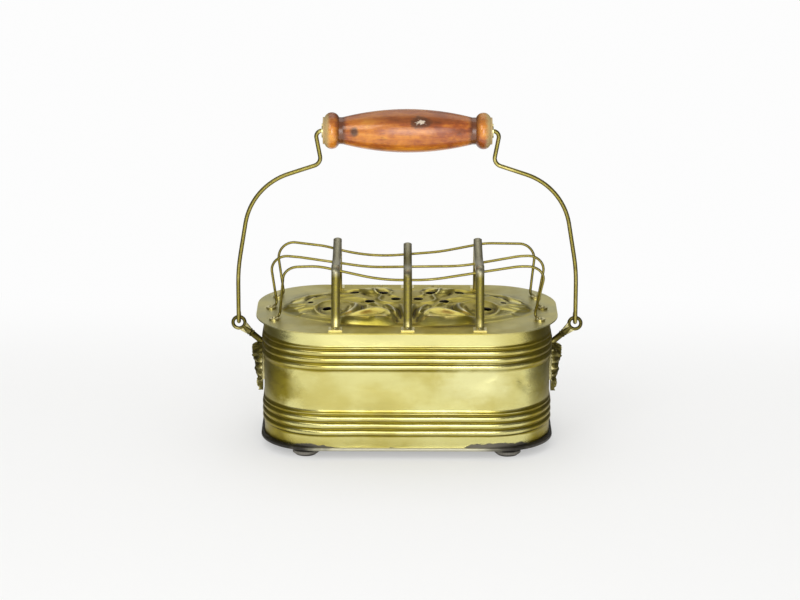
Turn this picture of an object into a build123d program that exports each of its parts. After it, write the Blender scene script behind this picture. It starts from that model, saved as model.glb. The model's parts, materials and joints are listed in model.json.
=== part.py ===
"""An antique brass foot warmer: a moulded casing that holds an ember pan, under a hinged, pierced lid
with a footrest of wires, and a bail with a turned wooden grip.

Millimetres. +Z is up, +X runs along the length, and -Y is the front. The origin is on the ground,
in the middle of the four feet.
"""

import os
from math import hypot, sqrt

from build123d import *

os.makedirs("parts", exist_ok=True)

# --- Clearances -----------------------------------------------------------------------------------
move_gap = 0.3  # between pieces that move past each other
seat_gap = 0.1  # round a piece that is let into another
pin_gap = 0.05  # round a hinge pin, a rivet or the grip's wire

# --- Casing ---------------------------------------------------------------------------------------
casing_length = 240.0
casing_depth = 136.0
casing_corner = 53.0  # outer corner radius in plan
casing_wall = 1.0
casing_height = 100.8

# Mouldings round the casing: one fillet bead over three torus beads, in two bands
bead_width = 5.5
bead_proud = 1.5
fillet_width = 2.4
fillet_proud = 0.7
bead_groove = 0.5
beads_per_band = 3
upper_band_drop = 12.0  # casing top down to the upper band
lower_band_rise = 32.1  # casing bottom up to the lower band's top

# --- Base and feet --------------------------------------------------------------------------------
base_sheet = 1.0
base_rim_width = 2.2
base_rim_height = 2.8
base_corner_ease = 7.0  # how much tighter the tray's corners are than the casing's
base_rim_round = 0.9
foot_height = 6.8
foot_radius = 11.0
foot_sole_radius = 8.5
foot_neck_radius = 7.5
foot_inset_x = 36.0  # from the casing's end to the foot's middle
foot_inset_y = 14.0
foot_stud_radius = 2.0
burr_radius = 4.5
burr_thickness = 1.0
peen_radius = 3.2
peen_height = 1.4

# --- Ember pan and its rests ----------------------------------------------------------------------
rest_height = 8.0
rest_width = 12.0
rest_foot = 9.0
rest_sheet = 1.2
rest_inset_y = 26.0  # from the casing's front to the strip's end
rest_inset_x = 60.0
pan_gap_x = 20.0  # from the casing's end to the pan's
pan_gap_y = 18.0
pan_corner_share = 0.32  # of the pan's depth
pan_height = 38.0
pan_sheet = 1.0
pan_rim = 3.0
pan_rim_sheet = 1.4
ear_margin = 7.0  # from the ear's side to its slot and its rivets
ear_sheet = 1.5
ear_rise = 22.0  # above the pan's rim
ear_lap = 16.0  # down the pan's wall
ear_corner = 8.0
ear_slot_height = 10.0

# --- Lid ------------------------------------------------------------------------------------------
lid_overhang = 6.0
lid_sheet = 1.0
lid_edge_round = 0.35
dome_margin = 22.0  # flat brim all round, on the long and the short axis
dome_height = 9.0
dome_level_shares = ((1.0, 0.0), (0.94, 0.42), (0.80, 0.76), (0.52, 0.95), (0.16, 1.0))  # oval, height
heat_hole_radius = 3.7
heat_hole_shares = ((0.09, 0.17), (0.30, 0.02), (0.64, -0.33), (0.19, 0.54), (0.43, 0.62))  # of the dome
vent_radius = 2.2
vent_shares = ((0.78, 0.06), (0.75, 0.42))
lobe_proud = 1.2
lobe_share = (0.40, 0.25)  # of the dome's length and depth
lobe_turn = 20.0
lobe_centre_share = (0.36, 0.65)
scroll_radius = 9.0
scroll_width = 4.0
scroll_centre_share = (0.49, -0.31)
collar_depth = 5.0
collar_sheet = 0.8
collar_gap = 0.6
collar_back = 20.0  # the collar's two ends, measured behind the middle

# --- Hinge ----------------------------------------------------------------------------------------
hinge_length = 60.0
knuckle_count = 5
knuckle_radius = 2.2
hinge_pin_radius = 1.0
hinge_pin_head = 1.7
hinge_pin_head_height = 1.0
leaf_sheet = 1.0
leaf_drop = 4.8  # body leaf below the lid's knuckles
hinge_rivet_radius = 1.0
hinge_rivet_head = 1.5
hinge_rivet_rise = 0.8
hinge_rivet_spread = 22.0
lid_flange = 4.2  # width of the lid leaf under the brim

# --- Footrest -------------------------------------------------------------------------------------
strap_step = 59.5  # from the middle strap to an outer one
strap_shift = 0.5  # of the whole row, to the right
strap_width = 7.0
strap_flange = 5.2
strap_sheet = 0.9
strap_crown = 1.2
strap_inset = 14.5  # from the lid's edge to the strap's foot
strap_bend_radius = 6.0
strap_saddle_radius = 100.0
side_strap_lean = 12.0  # from foot to upper corner, inwards
side_strap_rise = 49.6  # of the upper corner over the lid
side_strap_saddle = 7.0  # of the middle below the corner
middle_strap_lean = 13.5
middle_strap_rise = 45.8
middle_strap_saddle = 7.0
strap_root = 2.0  # how far the swept leg starts below the lid before it is trimmed
strap_pad_width = 11.0
strap_pad_length = 9.0
strap_pad_sheet = 1.2

wire_radius = 1.1
front_row_gap = 2.1  # from an outer strap's upper corner to the wire's row
rear_row_gap = 1.1
wire_end_radius = 13.0
wire_hump_radius = 60.0
wire_saddle_radius = 150.0
wire_foot_radius = 3.0
wire_eye_radius = 4.2
wire_eye_sheet = 1.6
wire_eye_step = (4.5, -9.0)  # leg to eye, outwards and to the front
wire_eye_reach = 3.0  # eye centre to the wire's end
# Each wire was bent by hand, so its left and right halves differ: end, hump and sag over the lid,
# then hump and sag as shares of half the lid's length
front_wire_rises = ((48.3, 49.3, 37.6), (49.3, 49.6, 37.7))
front_wire_shares = ((0.58, 0.167), (0.73, 0.15))
middle_wire_rises = ((46.8, 44.6, 36.1), (46.8, 46.0, 37.2))
middle_wire_shares = ((0.714, 0.254), (0.746, 0.365))
rear_wire_rises = ((47.0, 41.9, 32.1), (44.2, 44.7, 37.1))
rear_wire_shares = ((0.556, 0.254), (0.524, 0.222))
front_wire_ends = (24.5, 11.0)  # left and right, from the lid's end
middle_wire_ends = (10.6, 9.4)
rear_wire_ends = (14.5, 16.2)
front_wire_foot = (20.0, 49.0)  # from the lid's end and from its front
middle_wire_foot = (16.5, 83.0)
rear_wire_foot = (21.0, 117.0)

# --- Bail brackets --------------------------------------------------------------------------------
eye_reach = 21.4  # from the casing's end to the eye's middle
eye_drop = 11.1  # from the casing's top
eye_ring_radius = 5.0
eye_wire_radius = 1.5
eye_neck = 11.0  # ring centre down the arm to where the ring's neck ends
eye_neck_radius = 2.4
eye_tang_radius = 1.1  # where the arm enters the ring
eye_web_spread = 75.0  # degrees each side of the arm where the web leaves the ring
eye_web_lap = 0.7  # past the middle of the ring's wire
eye_web_sheet = 2.4
arm_reach = 17.0  # from the arm's root up to the eye
arm_root_radius = 3.0
arm_radius = 2.2
arm_collar_radius = 3.0
arm_collar = 1.1  # a quarter of the twin collars' length
mask_gap = 0.1  # between the mask's back and the beads
mask_drop = 27.1  # from the casing's top
mask_height = 43.5
mask_width = 28.0
mask_outline_shares = ((0.0, 1.0), (0.36, 0.93), (0.5, 0.72), (0.44, 0.45), (0.27, 0.21), (0.0, 0.0))
mask_proud = 8.3
mask_profile_shares = (
    (0.36, 1.0), (1.0, 0.83), (0.75, 0.67), (0.55, 0.5), (0.36, 0.37), (0.26, 0.18), (0.17, 0.0),
)
pad_width = 20.0
pad_margin = (6.0, 7.5)  # from the mask's bottom and top to the pad that bears on the wall
mask_rivet_shares = (0.345, 0.667)
mask_rivet_depth = 3.6  # into the casting, from the wall's face
rivet_radius = 1.5
rivet_head = 2.6
rivet_head_height = 1.1
rivet_tail = 1.9  # smaller heads beside the collar and the wire ends

# --- Bail and grip --------------------------------------------------------------------------------
bail_radius = 1.75
hook_arc = 270.0
bail_rise = 42.5  # of the first bend over the hooks
bail_shoulder = (11.9, 114.3)  # of the second bend: inwards and up from the hooks
bail_neck = (5.2, 27.8)  # of the third bend: inwards and down from the bend at the grip
bail_radii = (150.0, 54.0, 7.0)
bail_grip_gap = 6.5  # from the grip's end to the bend beside it
bail_grip_radius = 5.0
grip_rise = 161.5  # of the grip over the hooks
grip_length = 140.0
grip_belly_radius = 18.0
grip_neck_radius = 11.2
grip_neck_inset = 16.5
grip_bead_radius = 15.2
grip_bead_width = 12.0
grip_bead_inset = 7.4
grip_bore_gap = 0.1
washer_radius = 6.0
washer_bore_gap = 0.4
washer_sheet = 1.0

# --- Heights and places worked out from the sizes above ---------------------------------------------
casing_bottom = foot_height + base_sheet
casing_top = casing_bottom + casing_height
lid_bottom = casing_top + move_gap
lid_top = lid_bottom + lid_sheet
lid_length = casing_length + 2 * lid_overhang
lid_depth = casing_depth + 2 * lid_overhang
lid_corner = casing_corner + lid_overhang
dome_length = lid_length - 2 * dome_margin
dome_depth = lid_depth - 2 * dome_margin
wall_x = casing_length / 2
wall_y = casing_depth / 2
rest_top = casing_bottom + rest_height
pan_length = casing_length - 2 * pan_gap_x
pan_depth = casing_depth - 2 * pan_gap_y
pan_corner = pan_corner_share * pan_depth
ear_width = pan_depth - 2 * pan_corner
ear_slot_width = ear_width - 2 * ear_margin
ear_rivet_spread = ear_width - 2 * ear_margin
pan_bottom = rest_top + move_gap
pan_top = pan_bottom + pan_height
bead_pitch = bead_width + bead_groove
rim_reach = seat_gap + base_rim_width
foot_names = ("foot_front_left", "foot_front_right", "foot_rear_left", "foot_rear_right")
foot_x = wall_x - foot_inset_x
foot_y = wall_y - foot_inset_y
foot_centres = [(x * foot_x, y * foot_y) for y in (-1, 1) for x in (-1, 1)]
burr_top = casing_bottom + burr_thickness
rest_length = casing_depth - 2 * rest_inset_y
rest_spread = wall_x - rest_inset_x
rest_rivet_y = rest_length / 2 - rest_foot / 2
rest_rivet_places = [(x * rest_spread, y * rest_rivet_y) for x in (-1, 1) for y in (-1, 1)]
ear_slot_z = pan_top + ear_rise - ear_slot_height
ear_rivet_z = pan_top - ear_lap / 2
ear_rivet_places = [(y * ear_rivet_spread / 2, ear_rivet_z) for y in (-1, 1)]
collar_length = casing_length - 2 * casing_wall - 2 * collar_gap
collar_width = casing_depth - 2 * casing_wall - 2 * collar_gap
collar_corner = casing_corner - casing_wall - collar_gap
hinge_y = wall_y + knuckle_radius + move_gap
hinge_z = lid_bottom - 2 * knuckle_radius
knuckle_length = hinge_length / knuckle_count
hinge_rivet_x = (-hinge_rivet_spread, hinge_rivet_spread)
leaf_top = hinge_z - knuckle_radius - move_gap
leaf_rivet_z = leaf_top - leaf_drop / 2
lid_leaf_rivet_y = hinge_y + knuckle_radius - leaf_sheet - hinge_rivet_head - seat_gap
strap_foot_y = lid_depth / 2 - strap_inset
side_strap_y = strap_foot_y - side_strap_lean
middle_strap_y = strap_foot_y - middle_strap_lean
straps = (  # name, X, then Y and height of the upper corner and height of the middle
    ("strap_left", strap_shift - strap_step, side_strap_y, side_strap_rise, side_strap_saddle),
    ("strap_middle", strap_shift, middle_strap_y, middle_strap_rise, middle_strap_saddle),
    ("strap_right", strap_shift + strap_step, side_strap_y, side_strap_rise, side_strap_saddle),
)
strap_rivet_y = strap_foot_y + strap_pad_length / 2 - strap_sheet
strap_rivet_places = [(strap[1], side * strap_rivet_y) for strap in straps for side in (-1, 1)]
wires = (  # name, Y of the row, insets of the ends, rises, shares of hump and sag, insets of the feet
    (
        "rack_wire_front",
        front_row_gap - side_strap_y,
        front_wire_ends,
        front_wire_rises,
        front_wire_shares,
        front_wire_foot,
    ),
    ("rack_wire_middle", 0, middle_wire_ends, middle_wire_rises, middle_wire_shares, middle_wire_foot),
    (
        "rack_wire_rear",
        side_strap_y - rear_row_gap,
        rear_wire_ends,
        rear_wire_rises,
        rear_wire_shares,
        rear_wire_foot,
    ),
)
wire_level = lid_top + wire_radius + pin_gap
wire_eye_places = [
    (
        side * (lid_length / 2 - wire[5][0] + wire_eye_step[0]),
        wire[5][1] - lid_depth / 2 + wire_eye_step[1],
    )
    for wire in wires
    for side in (-1, 1)
]
eye_x = wall_x + eye_reach
eye_height = casing_top - eye_drop
mask_back = wall_x + bead_proud + mask_gap
mask_top = casing_top - mask_drop
mask_bottom = mask_top - mask_height
mask_rivets = [mask_bottom + share * mask_height for share in mask_rivet_shares]
hook_z = eye_height + eye_ring_radius
eye_bar_sag = eye_ring_radius - sqrt(eye_ring_radius**2 - bail_radius**2)
hook_radius = bail_radius + eye_wire_radius + eye_bar_sag + move_gap
grip_height = hook_z + grip_rise


def save(builder, name):
    """Label the finished piece and write it to its STEP file."""
    builder.part.label = name
    export_step(builder.part, f"parts/{name}.step")


def turned(centre, axis, points):
    """Revolve a closed half section about an axis through centre; its points are (radius, distance)."""
    along = Vector(axis).normalized()
    across = Vector(0, 1, 0)
    if abs(along.Y) > 0.9:
        across = Vector(1, 0, 0)
    with BuildSketch(Plane(origin=centre, x_dir=across, z_dir=across.cross(along))) as section:
        with BuildLine():
            Polyline(*points, close=True)
        make_face()
    revolve(section.sketch, axis=Axis(centre, axis))


def rivet(centre, axis, grip, shank=rivet_radius, head=rivet_head, rise=rivet_head_height):
    """A rivet: its domed head stands on centre and its shank runs back by grip to a peened tail."""
    tail_rise = rise / 2
    dome = [(0, rise), (0.72 * head, 0.7 * rise), (head, 0)]
    turned(centre, axis, dome + [(shank, 0), (shank, -grip), (head, -grip), (0, -grip - tail_rise)])


# --- Casing: one strip of sheet, its mouldings rolled in, carried round the rounded rectangle -------
def band_beads(top):
    """(upper edge, width, projection) of each bead of a band, from the top down."""
    first = top - fillet_width - bead_groove
    beads = [(top, fillet_width, fillet_proud)]
    return beads + [(first - i * bead_pitch, bead_width, bead_proud) for i in range(beads_per_band)]


with BuildSketch() as casing_plan:
    RectangleRounded(casing_length, casing_depth, casing_corner)

casing_course = casing_plan.sketch.face().outer_wire()
course_start = casing_course % 0
strip_plane = Plane(casing_course @ 0, x_dir=course_start.cross(Vector(0, 0, 1)), z_dir=-course_start)

with BuildPart() as casing:
    with BuildSketch(strip_plane):
        with BuildLine():
            Line((0, casing_bottom), (-casing_wall, casing_bottom))
            Line((-casing_wall, casing_bottom), (-casing_wall, casing_top))
            Line((-casing_wall, casing_top), (0, casing_top))
            height = casing_top
            bands = (casing_top - upper_band_drop, casing_bottom + lower_band_rise)
            for bead_top, width, proud in [bead for top in bands for bead in band_beads(top)]:
                Line((0, height), (0, bead_top))
                height = bead_top - width
                ThreePointArc((0, bead_top), (proud, bead_top - width / 2), (0, height))
            Line((0, height), (0, casing_bottom))
        make_face()
    sweep(path=casing_course)
    with BuildSketch(Plane.YZ):
        with Locations(*[(0, height) for height in mask_rivets]):
            Circle(rivet_radius + pin_gap)
    extrude(amount=casing_length, both=True, mode=Mode.SUBTRACT)
    with BuildSketch(Plane.XZ.offset(-wall_y - bead_proud)):
        with Locations(*[(x, leaf_rivet_z) for x in hinge_rivet_x]):
            Circle(hinge_rivet_radius + pin_gap)
    extrude(amount=bead_proud + 2 * casing_wall, mode=Mode.SUBTRACT)
save(casing, "casing")


# --- Base: an iron tray whose rounded rim the casing stands in ---------------------------------------
with BuildPart() as base_tray:
    with BuildSketch(Plane.XY.offset(foot_height)):
        RectangleRounded(
            casing_length + 2 * rim_reach,
            casing_depth + 2 * rim_reach,
            casing_corner + rim_reach - base_corner_ease,
        )
    extrude(amount=base_rim_height)
    fillet(base_tray.faces().sort_by(Axis.Z)[-1].edges(), base_rim_round)
    fillet(base_tray.faces().sort_by(Axis.Z)[0].edges(), base_rim_round)
    with BuildSketch(Plane.XY.offset(casing_bottom)):
        RectangleRounded(
            casing_length + 2 * seat_gap, casing_depth + 2 * seat_gap, casing_corner + seat_gap
        )
    extrude(amount=base_rim_height, mode=Mode.SUBTRACT)
    with BuildSketch(Plane.XY):
        with Locations(*foot_centres):
            Circle(foot_stud_radius + pin_gap)
        with Locations(*rest_rivet_places):
            Circle(rivet_radius + pin_gap)
    extrude(amount=casing_bottom + base_sheet, mode=Mode.SUBTRACT)
save(base_tray, "base_tray")


# --- Feet: cast discs with a stud that is peened over a burr inside the base -------------------------
for name, (x, y) in zip(foot_names, foot_centres):
    with BuildPart() as foot:
        turned(
            (x, y, 0),
            (0, 0, 1),
            [
                (0, 0),
                (foot_sole_radius, 0),
                (foot_radius, 0.3 * foot_height),
                (foot_radius, 0.6 * foot_height),
                (foot_neck_radius, 0.85 * foot_height),
                (foot_neck_radius, foot_height),
                (foot_stud_radius, foot_height),
                (foot_stud_radius, burr_top),
                (peen_radius, burr_top),
                (0.7 * peen_radius, burr_top + peen_height),
                (0, burr_top + peen_height),
            ],
        )
    save(foot, name)

with BuildPart() as foot_burrs:
    with BuildSketch(Plane.XY.offset(casing_bottom)):
        with Locations(*foot_centres):
            Circle(burr_radius)
            Circle(foot_stud_radius + pin_gap, mode=Mode.SUBTRACT)
    extrude(amount=burr_thickness)
save(foot_burrs, "foot_burrs")


# --- Pan rests: two bridges of strip that keep the hot pan off the base ------------------------------
for name, side in (("pan_rest_left", -1), ("pan_rest_right", 1)):
    with BuildPart() as rest:
        with BuildSketch(Plane.YZ.offset(side * rest_spread)):
            with BuildLine():
                Polyline(
                    (0, rest_top),
                    (rest_length / 2 - rest_foot, rest_top),
                    (rest_length / 2 - rest_foot, casing_bottom + rest_sheet),
                    (rest_length / 2, casing_bottom + rest_sheet),
                    (rest_length / 2, casing_bottom),
                    (rest_length / 2 - rest_foot - rest_sheet, casing_bottom),
                    (rest_length / 2 - rest_foot - rest_sheet, rest_top - rest_sheet),
                    (0, rest_top - rest_sheet),
                )
                mirror(about=Plane.YZ)
            make_face()
        extrude(amount=rest_width / 2, both=True)
        with BuildSketch(Plane.XY.offset(casing_bottom)):
            with Locations((side * rest_spread, -rest_rivet_y), (side * rest_spread, rest_rivet_y)):
                Circle(rivet_radius + pin_gap)
        extrude(amount=rest_sheet, mode=Mode.SUBTRACT)
    save(rest, name)

with BuildPart() as rest_rivets:
    for x, y in rest_rivet_places:
        rivet((x, y, casing_bottom + rest_sheet), (0, 0, 1), base_sheet + rest_sheet)
save(rest_rivets, "rest_rivets")


# --- Ember pan: a sheet-iron tray with a flat rim and two riveted lifting ears ------------------------
with BuildPart() as ember_pan:
    with BuildSketch(Plane.XY.offset(pan_bottom)):
        RectangleRounded(pan_length, pan_depth, pan_corner)
    extrude(amount=pan_height)
    with BuildSketch(Plane.XY.offset(pan_top - pan_rim_sheet)):
        RectangleRounded(pan_length + 2 * pan_rim, pan_depth + 2 * pan_rim, pan_corner + pan_rim)
    extrude(amount=pan_rim_sheet)
    with BuildSketch(Plane.XY.offset(pan_bottom + pan_sheet)):
        RectangleRounded(
            pan_length - 2 * pan_sheet, pan_depth - 2 * pan_sheet, pan_corner - pan_sheet
        )
    extrude(amount=pan_height, mode=Mode.SUBTRACT)
    with BuildSketch(Plane.YZ):
        with Locations(*ear_rivet_places):
            Circle(rivet_radius + pin_gap)
    extrude(amount=pan_length, both=True, mode=Mode.SUBTRACT)
save(ember_pan, "ember_pan")

for name, side in (("pan_ear_left", -1), ("pan_ear_right", 1)):
    with BuildPart() as ear:
        with BuildSketch(Plane.YZ.offset(side * (pan_length / 2 - pan_sheet))):
            with Locations((0, pan_top - ear_lap + (ear_lap + ear_rise) / 2)):
                RectangleRounded(ear_width, ear_lap + ear_rise, ear_corner)
            with Locations((0, ear_slot_z)):
                SlotOverall(ear_slot_width, ear_slot_height, mode=Mode.SUBTRACT)
            with Locations(*ear_rivet_places):
                Circle(rivet_radius + pin_gap, mode=Mode.SUBTRACT)
        extrude(amount=-side * ear_sheet)
    save(ear, name)

with BuildPart() as ear_rivets:
    for side in (-1, 1):
        for y, z in ear_rivet_places:
            rivet((side * pan_length / 2, y, z), (side, 0, 0), pan_sheet + ear_sheet)
save(ear_rivets, "ear_rivets")


# --- Lid: one sheet, its middle raised into an oval dome with lobes, pierced to let the heat out ------
def dome_place(share_x, share_y):
    """A point over the dome, given as shares of its half axes."""
    return (share_x * dome_length / 2, share_y * dome_depth / 2)


def dome(level, inset, proud):
    """Loft the oval dome's contours up from a level, drawn in by inset and raised by proud."""
    ovals = []
    for share, rise in dome_level_shares:
        with BuildSketch(Plane.XY.offset(level + rise * dome_height + proud)) as oval:
            Ellipse(share * dome_length / 2 - inset, share * dome_depth / 2 - inset)
        ovals.append(oval.sketch)
    loft(ovals)


with BuildPart() as dome_hollow:
    dome(lid_bottom, lid_sheet, 0)

with BuildPart() as lobes:
    dome(lid_top, 0, lobe_proud)
    with BuildSketch(Plane.XY.offset(lid_top)):
        for side_x, side_y in ((-1, -1), (1, -1), (-1, 1), (1, 1)):
            turn = side_x * side_y * lobe_turn
            x, y = dome_place(side_x * lobe_centre_share[0], side_y * lobe_centre_share[1])
            with Locations(Location((x, y, 0), turn)):
                Ellipse(lobe_share[0] * dome_length / 4, lobe_share[1] * dome_depth / 2)
        scroll_x, scroll_y = scroll_centre_share
        with Locations(*[dome_place(side * scroll_x, scroll_y) for side in (-1, 1)]):
            Circle(scroll_radius)
            Circle(scroll_radius - scroll_width, mode=Mode.SUBTRACT)
    extrude(amount=dome_height + 2 * lobe_proud, mode=Mode.INTERSECT)

with BuildPart() as lid:
    with BuildSketch(Plane.XY.offset(lid_bottom)):
        RectangleRounded(lid_length, lid_depth, lid_corner)
    extrude(amount=lid_sheet)
    fillet(lid.faces().sort_by(Axis.Z)[-1].edges(), lid_edge_round)
    dome(lid_top, 0, 0)
    add(lobes.part)
    add(dome_hollow.part, mode=Mode.SUBTRACT)
    with BuildSketch(Plane.XY.offset(lid_bottom)):
        with Locations(*[dome_place(side * x, y) for x, y in heat_hole_shares for side in (-1, 1)]):
            Circle(heat_hole_radius)
        with Locations(*[dome_place(side * x, y) for x, y in vent_shares for side in (-1, 1)]):
            Circle(vent_radius)
        with Locations(*strap_rivet_places, *wire_eye_places):
            Circle(rivet_radius + pin_gap)
        with Locations(*[(x, lid_leaf_rivet_y) for x in hinge_rivet_x]):
            Circle(hinge_rivet_radius + pin_gap)
    extrude(amount=dome_height + lid_sheet + 2 * lobe_proud, mode=Mode.SUBTRACT)
save(lid, "lid")

with BuildPart() as lid_collar:
    with BuildSketch(Plane.XY.offset(lid_bottom - collar_depth)):
        RectangleRounded(collar_length, collar_width, collar_corner)
        offset(amount=-collar_sheet, mode=Mode.SUBTRACT)
        with Locations((0, collar_back + lid_depth / 2)):
            Rectangle(lid_length, lid_depth, mode=Mode.SUBTRACT)
    extrude(amount=collar_depth)
save(lid_collar, "lid_collar")


# --- Hinge: knuckles turned from each leaf in turn round one pin --------------------------------------
def knuckles(numbers):
    """Rings round the hinge pin at the given places along it, and their middles along X."""
    middles = [(n - (knuckle_count - 1) / 2) * knuckle_length for n in numbers]
    for x in middles:
        with BuildSketch(Plane.YZ.offset(x)) as ring:
            with Locations((hinge_y, hinge_z)):
                Circle(knuckle_radius)
        extrude(ring.sketch, amount=(knuckle_length - move_gap) / 2, both=True)
    return middles


def block(low, high):
    """A box between two corners."""
    with Locations((Vector(low) + Vector(high)) / 2):
        Box(*[b - a for a, b in zip(low, high)])


with BuildPart() as hinge_bore:
    with BuildSketch(Plane.YZ):
        with Locations((hinge_y, hinge_z)):
            Circle(hinge_pin_radius + pin_gap)
    extrude(amount=hinge_length, both=True)

with BuildPart() as hinge_leaf_casing:
    half = (knuckle_length - move_gap) / 2
    leaf_bottom = leaf_top - leaf_drop
    for x in knuckles(range(0, knuckle_count, 2)):
        block((x - half, wall_y, leaf_bottom), (x + half, wall_y + leaf_sheet, hinge_z))
    block((-hinge_length / 2, wall_y, leaf_bottom), (hinge_length / 2, wall_y + leaf_sheet, leaf_top))
    add(hinge_bore.part, mode=Mode.SUBTRACT)
    with BuildSketch(Plane.XZ.offset(-wall_y)):
        with Locations(*[(x, leaf_rivet_z) for x in hinge_rivet_x]):
            Circle(hinge_rivet_radius + pin_gap)
    extrude(amount=-leaf_sheet, mode=Mode.SUBTRACT)
save(hinge_leaf_casing, "hinge_leaf_casing")

with BuildPart() as hinge_leaf_lid:
    back = hinge_y + knuckle_radius
    for x in knuckles(range(1, knuckle_count, 2)):
        block((x - half, back - leaf_sheet, hinge_z), (x + half, back, lid_bottom))
    web_low = hinge_z + knuckle_radius + 2 * move_gap
    block((-hinge_length / 2, back - leaf_sheet, web_low), (hinge_length / 2, back, lid_bottom))
    flange_low = lid_bottom - leaf_sheet
    block((-hinge_length / 2, back - lid_flange, flange_low), (hinge_length / 2, back, lid_bottom))
    add(hinge_bore.part, mode=Mode.SUBTRACT)
    with BuildSketch(Plane.XY.offset(flange_low)):
        with Locations(*[(x, lid_leaf_rivet_y) for x in hinge_rivet_x]):
            Circle(hinge_rivet_radius + pin_gap)
    extrude(amount=leaf_sheet, mode=Mode.SUBTRACT)
save(hinge_leaf_lid, "hinge_leaf_lid")

with BuildPart() as hinge_pin:
    reach = hinge_length / 2
    head = (hinge_pin_head, reach + hinge_pin_head_height)
    points = [(0, head[1]), head, (hinge_pin_head, reach), (hinge_pin_radius, reach)]
    turned((0, hinge_y, hinge_z), (1, 0, 0), points + [(r, -x) for r, x in reversed(points)])
save(hinge_pin, "hinge_pin")

with BuildPart() as hinge_rivets_casing:
    for x in hinge_rivet_x:
        rivet((x, wall_y + leaf_sheet, leaf_rivet_z), (0, 1, 0), leaf_sheet + casing_wall,
              hinge_rivet_radius, hinge_rivet_head, hinge_rivet_rise)
save(hinge_rivets_casing, "hinge_rivets_casing")

with BuildPart() as hinge_rivets_lid:
    for x in hinge_rivet_x:
        rivet((x, lid_leaf_rivet_y, lid_top), (0, 0, 1), lid_sheet + leaf_sheet,
              hinge_rivet_radius, hinge_rivet_head, hinge_rivet_rise)
save(hinge_rivets_lid, "hinge_rivets_lid")


# --- Footrest wires: three bent wires, each end turned to an eye that is riveted to the lid -----------
def wire_course(row_y, ends, rises, shares, foot):
    """Corners of a wire's centre line from its left eye to its right one."""
    lid_x = lid_length / 2
    start = 1 - wire_eye_reach / hypot(*wire_eye_step)
    foot_x = lid_x - foot[0]
    foot_y = foot[1] - lid_depth / 2
    course = []
    for side, end, rise, share in zip((-1, 1), ends, rises, shares):
        half = [
            (side * (foot_x + start * wire_eye_step[0]), foot_y + start * wire_eye_step[1], wire_level),
            (side * foot_x, foot_y, wire_level),
            (side * (lid_x - end), row_y, lid_top + rise[0]),
            (side * lid_x * share[0], row_y, lid_top + rise[1]),
            (side * lid_x * share[1], row_y, lid_top + rise[2]),
        ]
        course += half if side < 0 else half[::-1]
    return course


def bend_wire(course, radius):
    """Sweep a round wire along its centre line."""
    bends = [wire_foot_radius, wire_end_radius, wire_hump_radius, wire_saddle_radius]
    with BuildLine():
        path = FilletPolyline(*course, radius=bends + bends[::-1])
    with BuildSketch(Plane(origin=path @ 0, z_dir=path % 0)) as section:
        Circle(radius)
    sweep(section.sketch, path=path)


with BuildPart() as wire_bores:
    for name, *course in wires:
        bend_wire(wire_course(*course), wire_radius + seat_gap)

for (name, *course), eyes in zip(wires, zip(wire_eye_places[::2], wire_eye_places[1::2])):
    with BuildPart() as wire:
        bend_wire(wire_course(*course), wire_radius)
        with BuildSketch(Plane.XY.offset(lid_top)):
            with Locations(*eyes):
                Circle(wire_eye_radius)
        extrude(amount=wire_eye_sheet)
        with BuildSketch(Plane.XY.offset(lid_top)):
            with Locations(*eyes):
                Circle(rivet_radius + pin_gap)
        extrude(amount=2 * wire_eye_sheet, mode=Mode.SUBTRACT)
    save(wire, name)

with BuildPart() as wire_rivets:
    for x, y in wire_eye_places:
        rivet((x, y, lid_top + wire_eye_sheet), (0, 0, 1), wire_eye_sheet + lid_sheet, head=rivet_tail)
save(wire_rivets, "wire_rivets")


# --- Footrest straps: three crowned channels that bridge the lid and hold the wires -------------------
for name, x, corner_y, rise, saddle in straps:
    with BuildPart() as strap:
        root_y = strap_foot_y + strap_root * (strap_foot_y - corner_y) / rise
        corners = [
            (x, -root_y, lid_top - strap_root),
            (x, -corner_y, lid_top + rise),
            (x, 0, lid_top + rise - saddle),
            (x, corner_y, lid_top + rise),
            (x, root_y, lid_top - strap_root),
        ]
        bends = (strap_bend_radius, strap_saddle_radius, strap_bend_radius)
        with BuildLine():
            path = FilletPolyline(*corners, radius=bends)
        with BuildSketch(Plane(origin=path @ 0, x_dir=(1, 0, 0), z_dir=path % 0)):
            with BuildLine():
                half = strap_width / 2
                ThreePointArc((-half, 0), (0, -strap_crown), (half, 0))
                Line((half, 0), (half, strap_flange))
                Line((half, strap_flange), (half - strap_sheet, strap_flange))
                Line((half - strap_sheet, strap_flange), (half - strap_sheet, strap_sheet))
                Line((half - strap_sheet, strap_sheet), (strap_sheet - half, strap_sheet))
                Line((strap_sheet - half, strap_sheet), (strap_sheet - half, strap_flange))
                Line((strap_sheet - half, strap_flange), (-half, strap_flange))
                Line((-half, strap_flange), (-half, 0))
            make_face()
        sweep(path=path)
        split(bisect_by=Plane.XY.offset(lid_top), keep=Keep.TOP)
        for side in (-1, 1):
            ends = sorted((side * (strap_foot_y - strap_sheet), side * (strap_foot_y + strap_pad_length)))
            block(
                (x - strap_pad_width / 2, ends[0], lid_top),
                (x + strap_pad_width / 2, ends[1], lid_top + strap_pad_sheet),
            )
        with BuildSketch(Plane.XY.offset(lid_top)):
            with Locations((x, -strap_rivet_y), (x, strap_rivet_y)):
                Circle(rivet_radius + pin_gap)
        extrude(amount=strap_pad_sheet, mode=Mode.SUBTRACT)
        add(wire_bores.part, mode=Mode.SUBTRACT)
    save(strap, name)

with BuildPart() as strap_rivets:
    for x, y in strap_rivet_places:
        rivet((x, y, lid_top + strap_pad_sheet), (0, 0, 1), strap_pad_sheet + lid_sheet, head=rivet_tail)
save(strap_rivets, "strap_rivets")


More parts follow.
